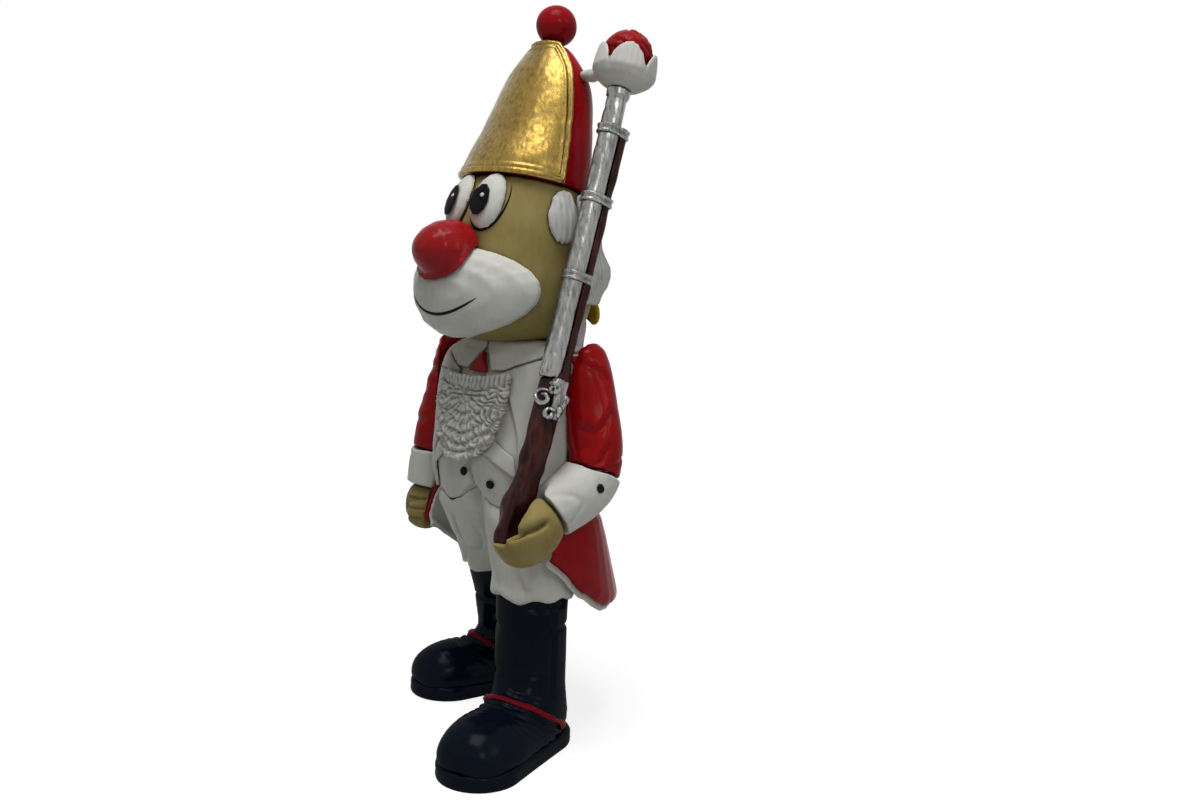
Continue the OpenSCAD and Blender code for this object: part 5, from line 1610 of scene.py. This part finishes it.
@dataclass
class Cap(Assembly):
    """The tall cap: red crown, gold front plate and red pompom."""

    cell: float = 0.8
    pompom_cell: float = 0.5
    plate_rows: int = 110
    plate_cols: int = 150
    thick: float = 1.25
    glue: float = 0.15
    border: float = 3.4
    lines: tuple[Point, ...] = ((0.75, 0.27, 0.17), (0.45, 0.78, 0.12))
    round_off: float = 0.5
    round_half: float = 0.06
    overhang: float = 0.5
    overhang_height: float = 6.0
    scan: Point = (-200.0, 21.0, 1.0)

    def build(self) -> None:
        """Builds the cap's pieces."""
        crown = Skin.of_node("cap_crown", self.cell, rounds=18)
        creases = crown.folds((0.08, 0.08, 0.03), width=0.12, shift=3.0)
        crown.lift(-0.45 * creases + 0.25 * crown.grain((0.07, 0.07, 0.04), shift=8.0))
        self.dress(crown, "cap_crown", CROWN_PAINT)
        self.plate()
        pompom = self.cast(
            "pompom", self.pompom_cell, rounds=10, relief=0.25, stretch=(0.12, 0.12, 0.12), shift=5.0
        )
        self.dress(pompom, "pompom", CROWN_PAINT)

    def plate(self) -> None:
        """The front plate, bent round the crown, with two raised lines along its edges."""
        axis = Axis.between("cap_pin", "pompom_pin")
        tree = node_tree("cap_plate")
        scan = np.arange(*self.scan)
        top, _, _ = axis.measure(node_points("cap_plate"))
        heights = np.linspace(top.min() + 0.1, top.max() - 0.1, self.plate_rows)
        met = axis.radii([tree], heights, scan) > 0
        left = blurred(np.array([[scan[row].min() for row in met]]), 5)[0]
        right = blurred(np.array([[scan[row].max() for row in met]]), 5)[0]
        crown = blurred(axis.radii([node_tree("cap_crown")], heights, scan), 14)
        share = np.linspace(0, 1, self.plate_cols)
        turns = left[:, None] + (right - left)[:, None] * share[None]
        radius = np.array([np.interp(turn, scan, row) for turn, row in zip(turns, crown)])
        span = np.radians(right - left)[:, None] * radius
        side = span * np.minimum(share, 1 - share)[None]
        rise = (heights - heights[0])[:, None]
        edge = np.minimum(np.minimum(side, rise), (heights[-1] - heights)[:, None])
        line = edge / self.border
        beads = sum(tall * bell(line - place, half) for tall, place, half in self.lines)
        round_off = self.round_off * np.exp(-line / self.round_half)
        heights = heights - self.overhang * held(1 - (heights - heights[0]) / self.overhang_height)
        outer = self.sheet(axis, heights, turns, radius + self.thick + beads - round_off)
        inner = self.sheet(axis, heights, turns, radius + self.glue)
        loop = np.concatenate([outer, inner[:, ::-1]], axis=1)
        rows, cols, _ = loop.shape
        near = np.arange(self.plate_cols - 1)
        first = np.stack([near, near + 1, cols - 2 - near, cols - 1 - near], axis=1)
        last = first[:, ::-1] + (rows - 1) * cols
        faces = np.concatenate([grid_faces(rows, cols), first, last])
        skin = Skin.closed(loop.reshape(-1, 3), faces)
        field = held(np.concatenate([line, line[:, ::-1]], axis=1).ravel() - 1)
        dents = 0.2 * skin.grain((0.11, 0.11, 0.14), shift=1.0)
        grit = 0.05 * skin.grain((0.5, 0.5, 0.5), shift=5.0)
        skin.lift(field * (dents + grit))
        self.dress(skin, "cap_plate", GOLD_LEAF)

    def sheet(self, axis: Axis, heights: np.ndarray, turns: np.ndarray, radius: np.ndarray) -> np.ndarray:
        """Points of one face of the plate, rows by columns by 3."""
        return np.array([axis.ring(*row) for row in zip(heights, turns, radius)])


@dataclass
class Musket(Assembly):
    """The musket: carved stock, silvered barrel, bands and lock."""

    stock_cell: float = 0.45
    barrel_cell: float = 0.42
    lock_cell: float = 0.26
    band_wall: float = 0.75
    band_sides: int = 72
    band_section: tuple[Pair, ...] = (
        (0.0, -0.2), (0.0, 0.5), (0.06, 0.95), (0.16, 1.15), (0.28, 0.95), (0.36, 0.7),
        (0.64, 0.7), (0.72, 0.95), (0.84, 1.15), (0.94, 0.95), (1.0, 0.5), (1.0, -0.2),
    )
    band_shift: float = 1.5
    carve_top: float = 118.0
    carve_fade: float = 20.0
    groove: float = 0.4
    lump: float = 1.6
    hollow: float = 1.1
    butt_top: float = 95.0
    butt_fade: float = 18.0
    butt_lean: Point = (-1.8, -2.0, 0.0)
    scroll: float = 1.9
    scroll_steps: int = 60
    scroll_start: float = 20.0
    narrow: float = 0.12
    lock_place: Point = (35.9, -15.3, 117.2)
    scrolls: tuple[tuple[float, ...], ...] = (
        (-0.6, 1.4, 2.7, 0.6, 1.3), (2.6, 4.8, 1.8, 2.6, -1.1), (1.4, -3.6, 1.9, 0.2, 1.1)
    )

    def build(self) -> None:
        """Builds the musket's pieces."""
        stock = Skin.of_node("musket_stock", self.stock_cell, rounds=12)
        carved = np.clip((self.carve_top - stock.z) / self.carve_fade, 0.25, 1)
        grooves = stock.grain((0.35, 0.35, 0.05), shift=4.0)
        lumps = stock.grain((0.14, 0.14, 0.09), shift=2.0)
        hollows = stock.grain((0.26, 0.26, 0.15), shift=8.0)
        stock.lift(carved * (self.groove * grooves + self.lump * lumps + self.hollow * hollows))
        butt = held((self.butt_top - stock.z) / self.butt_fade)
        stock.points += np.array(self.butt_lean) * butt[:, None]
        self.dress(stock, "musket_stock", STOCK_PAINT)
        barrel = Skin.of_node("musket_barrel", self.barrel_cell, rounds=4)
        scratches = barrel.folds((0.2, 0.2, 0.1), width=0.1, shift=5.0)
        barrel.lift(0.28 * barrel.grain((0.16, 0.16, 0.07), shift=3.0) - 0.3 * scratches)
        self.dress(barrel, "musket_barrel", SILVER_LEAF)
        self.bands()
        self.lock(stock)

    def axis(self) -> Axis:
        """The barrel's own line, from its breech to its muzzle."""
        points = node_points("musket_barrel")
        low = points[points[:, 2] < points[:, 2].min() + 1.5].mean(axis=0)
        return Axis(low, node_middle("flower_pin"))

    def bands(self) -> None:
        """Three bands that hold the barrel to the stock, each with two raised edges."""
        barrel = self.axis()
        foot = barrel.foot + self.band_shift * barrel.ahead
        line = Axis(foot, foot + barrel.along)
        trees = [node_tree("musket_barrel"), node_tree("musket_stock")]
        height = np.sort(line.measure(node_points("barrel_bands"))[0])
        starts = [height[0]] + [high for low, high in zip(height[:-1], height[1:]) if high - low > 5]
        tall = max(height[(height >= start) & (height < start + 10)].max() - start for start in starts)
        turns = full_turn(self.band_sides)
        bands = []
        for start in starts:
            outline = line.radii(trees, [start + tall / 2], turns)
            outline = blurred(np.concatenate([outline] * 3, axis=1), 2)
            outline = outline[0, self.band_sides : 2 * self.band_sides]
            rings = [
                line.ring(start + share * tall, turns, outline + self.band_wall * out)
                for share, out in self.band_section
            ]
            points = np.array(rings).reshape(-1, 3)
            bands.append(Skin.closed(points, grid_faces(len(rings), self.band_sides, ring=True)))
        skin = Skin.joined(bands)
        skin.lift(0.12 * skin.grain((0.35, 0.35, 0.35), shift=7.0))
        self.dress(skin, "barrel_bands", SILVER_LEAF)

    def lock(self, stock: Skin) -> None:
        """The lock plate, and the scrolls of its cock and pan that lie over the stock."""
        skin = Skin.of_node("musket_lock", self.lock_cell, rounds=3)
        skin.lift(0.35 * skin.grain((0.45, 0.45, 0.45), shift=2.0))
        along = skin.points @ LOCK_ALONG
        skin.points -= np.outer(self.narrow * (along - along.min()), LOCK_ALONG)
        self.dress(skin, "musket_lock", SILVER_LEAF)
        tree = Skin.joined([stock, skin]).tree()
        scrolls = []
        for right, up, size, start, turns in self.scrolls:
            angle = start + np.linspace(0, turns * 2 * math.pi, self.scroll_steps)
            reach = size * np.linspace(1, 0.3, self.scroll_steps)
            middle = np.array(self.lock_place) + LOCK_ALONG * right + self.scroll_start * LOCK_OUT
            spots = [
                middle + LOCK_ALONG * r * math.cos(a) + np.array((0, 0, up + r * math.sin(a)))
                for a, r in zip(angle, reach)
            ]
            scrolls.append(laid_bead(tree, spots, -LOCK_OUT, self.scroll, 0.75 * self.scroll))
        self.dress(Skin.joined(scrolls), "musket_lock", SILVER_LEAF, "lock_scrolls")


@dataclass
class Flower(Assembly):
    """The flower in the muzzle: a cup of white petals with a strut to the cap, and a red heart."""

    cell: float = 0.4
    petals: int = 5
    petal_turn: float = -42.0
    vein: float = 0.05
    cup: float = 12.5
    stem: float = 5.0
    cut: float = 0.7
    cut_half: float = 0.8
    strut: float = 0.9
    hug: float = 0.12
    heart_rise: float = 1.2
    heart_swell: float = 1.0
    reach: float = 1.2

    def build(self) -> None:
        """Builds petals and heart."""
        skin = Skin.of_node("flower_petals", self.cell, rounds=10)
        axis = Musket().axis()
        height, turn, radius = axis.measure(skin.points)
        height = height - height[radius < self.stem].min()
        beside = ((turn - self.petal_turn) % (360 / self.petals)) - 180 / self.petals
        gap = np.radians(beside) * radius
        cut = self.cut * bell(gap, self.cut_half) * held((height - 3) / 4) * (radius > self.stem)
        fine = np.sin(np.radians(turn) * 34 + 2.0 * skin.grain((0.15, 0.15, 0.15), shift=4.0))
        veins = self.vein * fine * held(height / 6)
        skin.lift(veins - cut + 0.25 * skin.grain((0.2, 0.2, 0.1), shift=3.0))
        inward = axis.foot + np.outer((skin.points - axis.foot) @ axis.along, axis.along) - skin.points
        hug = self.hug * held((height - 5) / 8) * (radius < self.cup)
        reach = -self.reach * held((radius - self.cup) / 6) / radius
        skin.points += inward * (hug + reach)[:, None]
        strut = held((radius - self.cup) / 2)
        skin.lift(self.strut * strut * np.clip((19 - radius) / 6, 0.4, 1))
        self.dress(skin, "flower_petals", WHITE_PAINT)
        heart = Skin.of_node("flower_heart", self.cell, rounds=8)
        heart.points += self.heart_rise * axis.along
        heart.lift(np.full(len(heart.points), self.heart_swell))
        deep = heart.folds((0.3, 0.3, 0.3), width=0.14, shift=6.0)
        shallow = heart.folds((0.26, 0.26, 0.26), width=0.12, shift=2.0)
        heart.lift(-0.6 * deep - 0.5 * shallow)
        heart.lift(0.25 * heart.grain((0.3, 0.3, 0.3), shift=2.0))
        self.dress(heart, "flower_heart", RED_PAINT)


@dataclass
class Pins(Assembly):
    """The rods and wires inside, which keep their solids."""

    ends: tuple[str, ...] = ("_pin", "_pins")

    def build(self) -> None:
        """Gives every pin its bare steel."""
        for name, node in cad_nodes().items():
            if name.endswith(self.ends):
                node.data.materials.clear()
                node.data.materials.append(STEEL.material())
                LOG.info("%s: kept solid of %s", name, STEEL.name)


def cad_nodes() -> dict[str, bpy.types.Object]:
    """The CAD nodes by name."""
    return {item["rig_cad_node"]: item for item in bpy.data.objects if "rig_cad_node" in item}


@dataclass
class Studio:
    """A pale floor, soft lamps and the camera at the photograph's angle."""

    eye: Point = (285.33, -262.9, 158.0)
    azimuth: float = 42.48
    pitch: float = 4.21
    roll: float = 2.31
    focal: float = 1115.4
    drop: float = 43.0
    image_width: float = 1200.0
    sensor: float = 36.0
    clip: Pair = (0.01, 20.0)
    floor_half: float = 3000.0
    floor_steps: int = 9
    floor_fade: Pair = (120.0, 420.0)

    def build(self) -> None:
        """Builds the camera, floor, lamps and world."""
        self.camera()
        self.floor()
        self.lamps()
        self.world()

    def camera(self) -> None:
        """A nearly level camera, with the lens shifted down a little as the picture's framing needs."""
        turn, pitch, roll = (math.radians(value) for value in (self.azimuth, self.pitch, self.roll))
        right = Vector((math.cos(turn), math.sin(turn), 0))
        ahead = Vector((-math.sin(turn), math.cos(turn), 0))
        up = Vector((0, 0, 1))
        aim = ahead * math.cos(pitch) - up * math.sin(pitch)
        top = up * math.cos(pitch) + ahead * math.sin(pitch)
        level = right * math.cos(roll) + top * math.sin(roll)
        above = top * math.cos(roll) - right * math.sin(roll)
        data = bpy.data.cameras.new("camera")
        data.sensor_width = self.sensor
        data.lens = data.sensor_width * self.focal / self.image_width
        data.shift_y = -self.drop / self.image_width
        data.clip_start, data.clip_end = self.clip
        camera = bpy.data.objects.new("camera", data)
        rows = Matrix((level, above, -aim)).transposed()
        camera.matrix_world = Matrix.Translation(Vector(self.eye) * METRES) @ rows.to_4x4()
        bpy.context.scene.collection.objects.link(camera)
        bpy.context.scene.camera = camera

    def floor(self) -> None:
        """A pale floor that shows white to the camera and keeps the shadow."""
        half = self.floor_half * METRES
        count = self.floor_steps
        steps = np.linspace(-half, half, count)
        points = [(x, y, 0.0) for y in steps for x in steps]
        corners = [row * count + col for row in range(count - 1) for col in range(count - 1)]
        faces = [(low, low + 1, low + count + 1, low + count) for low in corners]
        mesh = bpy.data.meshes.new("floor")
        mesh.from_pydata(points, [], faces)
        floor = bpy.data.objects.new("floor", mesh)
        bpy.context.scene.collection.objects.link(floor)
        sketch, shader, material = new_material("pale floor")
        mottle = sketch.noise(0.02, 3.0)
        pale = sketch.blend(mottle, (0.5, 0.5, 0.5, 1), (0.56, 0.56, 0.56, 1))
        place = sketch.millimetres()
        away = sketch.node("ShaderNodeVectorMath", {0: place}, operation="LENGTH").outputs["Value"]
        glow = sketch.ranged(away, *self.floor_fade, (0.78, 1.0))
        looks = {
            "Base Color": pale,
            "Roughness": 0.9,
            "Specular IOR Level": 0.0,
            "Emission Color": (1, 1, 1, 1),
            "Emission Strength": sketch.math("MULTIPLY", sketch.seen(), glow),
        }
        sketch.feed(shader, looks)
        mesh.materials.append(material)

    def lamp(self, name: str, place: Point, target: Point, size: float, watts: float) -> None:
        """One square soft lamp that faces a point, both in millimetres."""
        data = bpy.data.lights.new(name, "AREA")
        data.shape = "SQUARE"
        data.size = size * METRES
        data.energy = watts
        lamp = bpy.data.objects.new(name, data)
        lamp.location = Vector(place) * METRES
        heading = (Vector(target) - Vector(place)).normalized()
        lamp.rotation_mode = "QUATERNION"
        lamp.rotation_quaternion = heading.to_track_quat("-Z", "Y")
        bpy.context.scene.collection.objects.link(lamp)

    def lamps(self) -> None:
        """A large lamp overhead in front, a key beside the camera and weaker ones on both sides."""
        middle = (0, 0, 120)
        self.lamp("overhead", (80, -170, 900), middle, 420, 4.2)
        self.lamp("key", (620, -360, 560), middle, 220, 0.85)
        self.lamp("side", (650, 150, 520), middle, 260, 0.5)
        self.lamp("front", (-450, -700, 420), middle, 600, 0.25)

    def world(self) -> None:
        """A grey sky for light that shows white behind the figure."""
        world = bpy.data.worlds.new("studio")
        world.use_nodes = True
        bpy.context.scene.world = world
        sketch = Sketch(world.node_tree)
        back = world.node_tree.nodes["Background"]
        strength = sketch.ranged(sketch.seen(), 0.0, 1.0, (0.06, 1.0))
        sketch.feed(back, {"Color": (1, 1, 1, 1), "Strength": strength})


def main() -> None:
    """Loads the frame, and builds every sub-assembly and the studio."""
    logging.basicConfig(level=logging.INFO, format="%(message)s")
    for item in list(bpy.data.objects):
        bpy.data.objects.remove(item)
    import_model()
    Studio().build()
    for assembly in (Boots, Breeches, Body, Coat, Jabot, Arms, Head, Wig, Cap, Musket, Flower, Pins):
        assembly().build()
    bpy.context.scene.view_settings.view_transform = "Standard"
    LOG.info("%d pieces", len(Assembly.pieces))


if __name__ == "__main__":
    main()
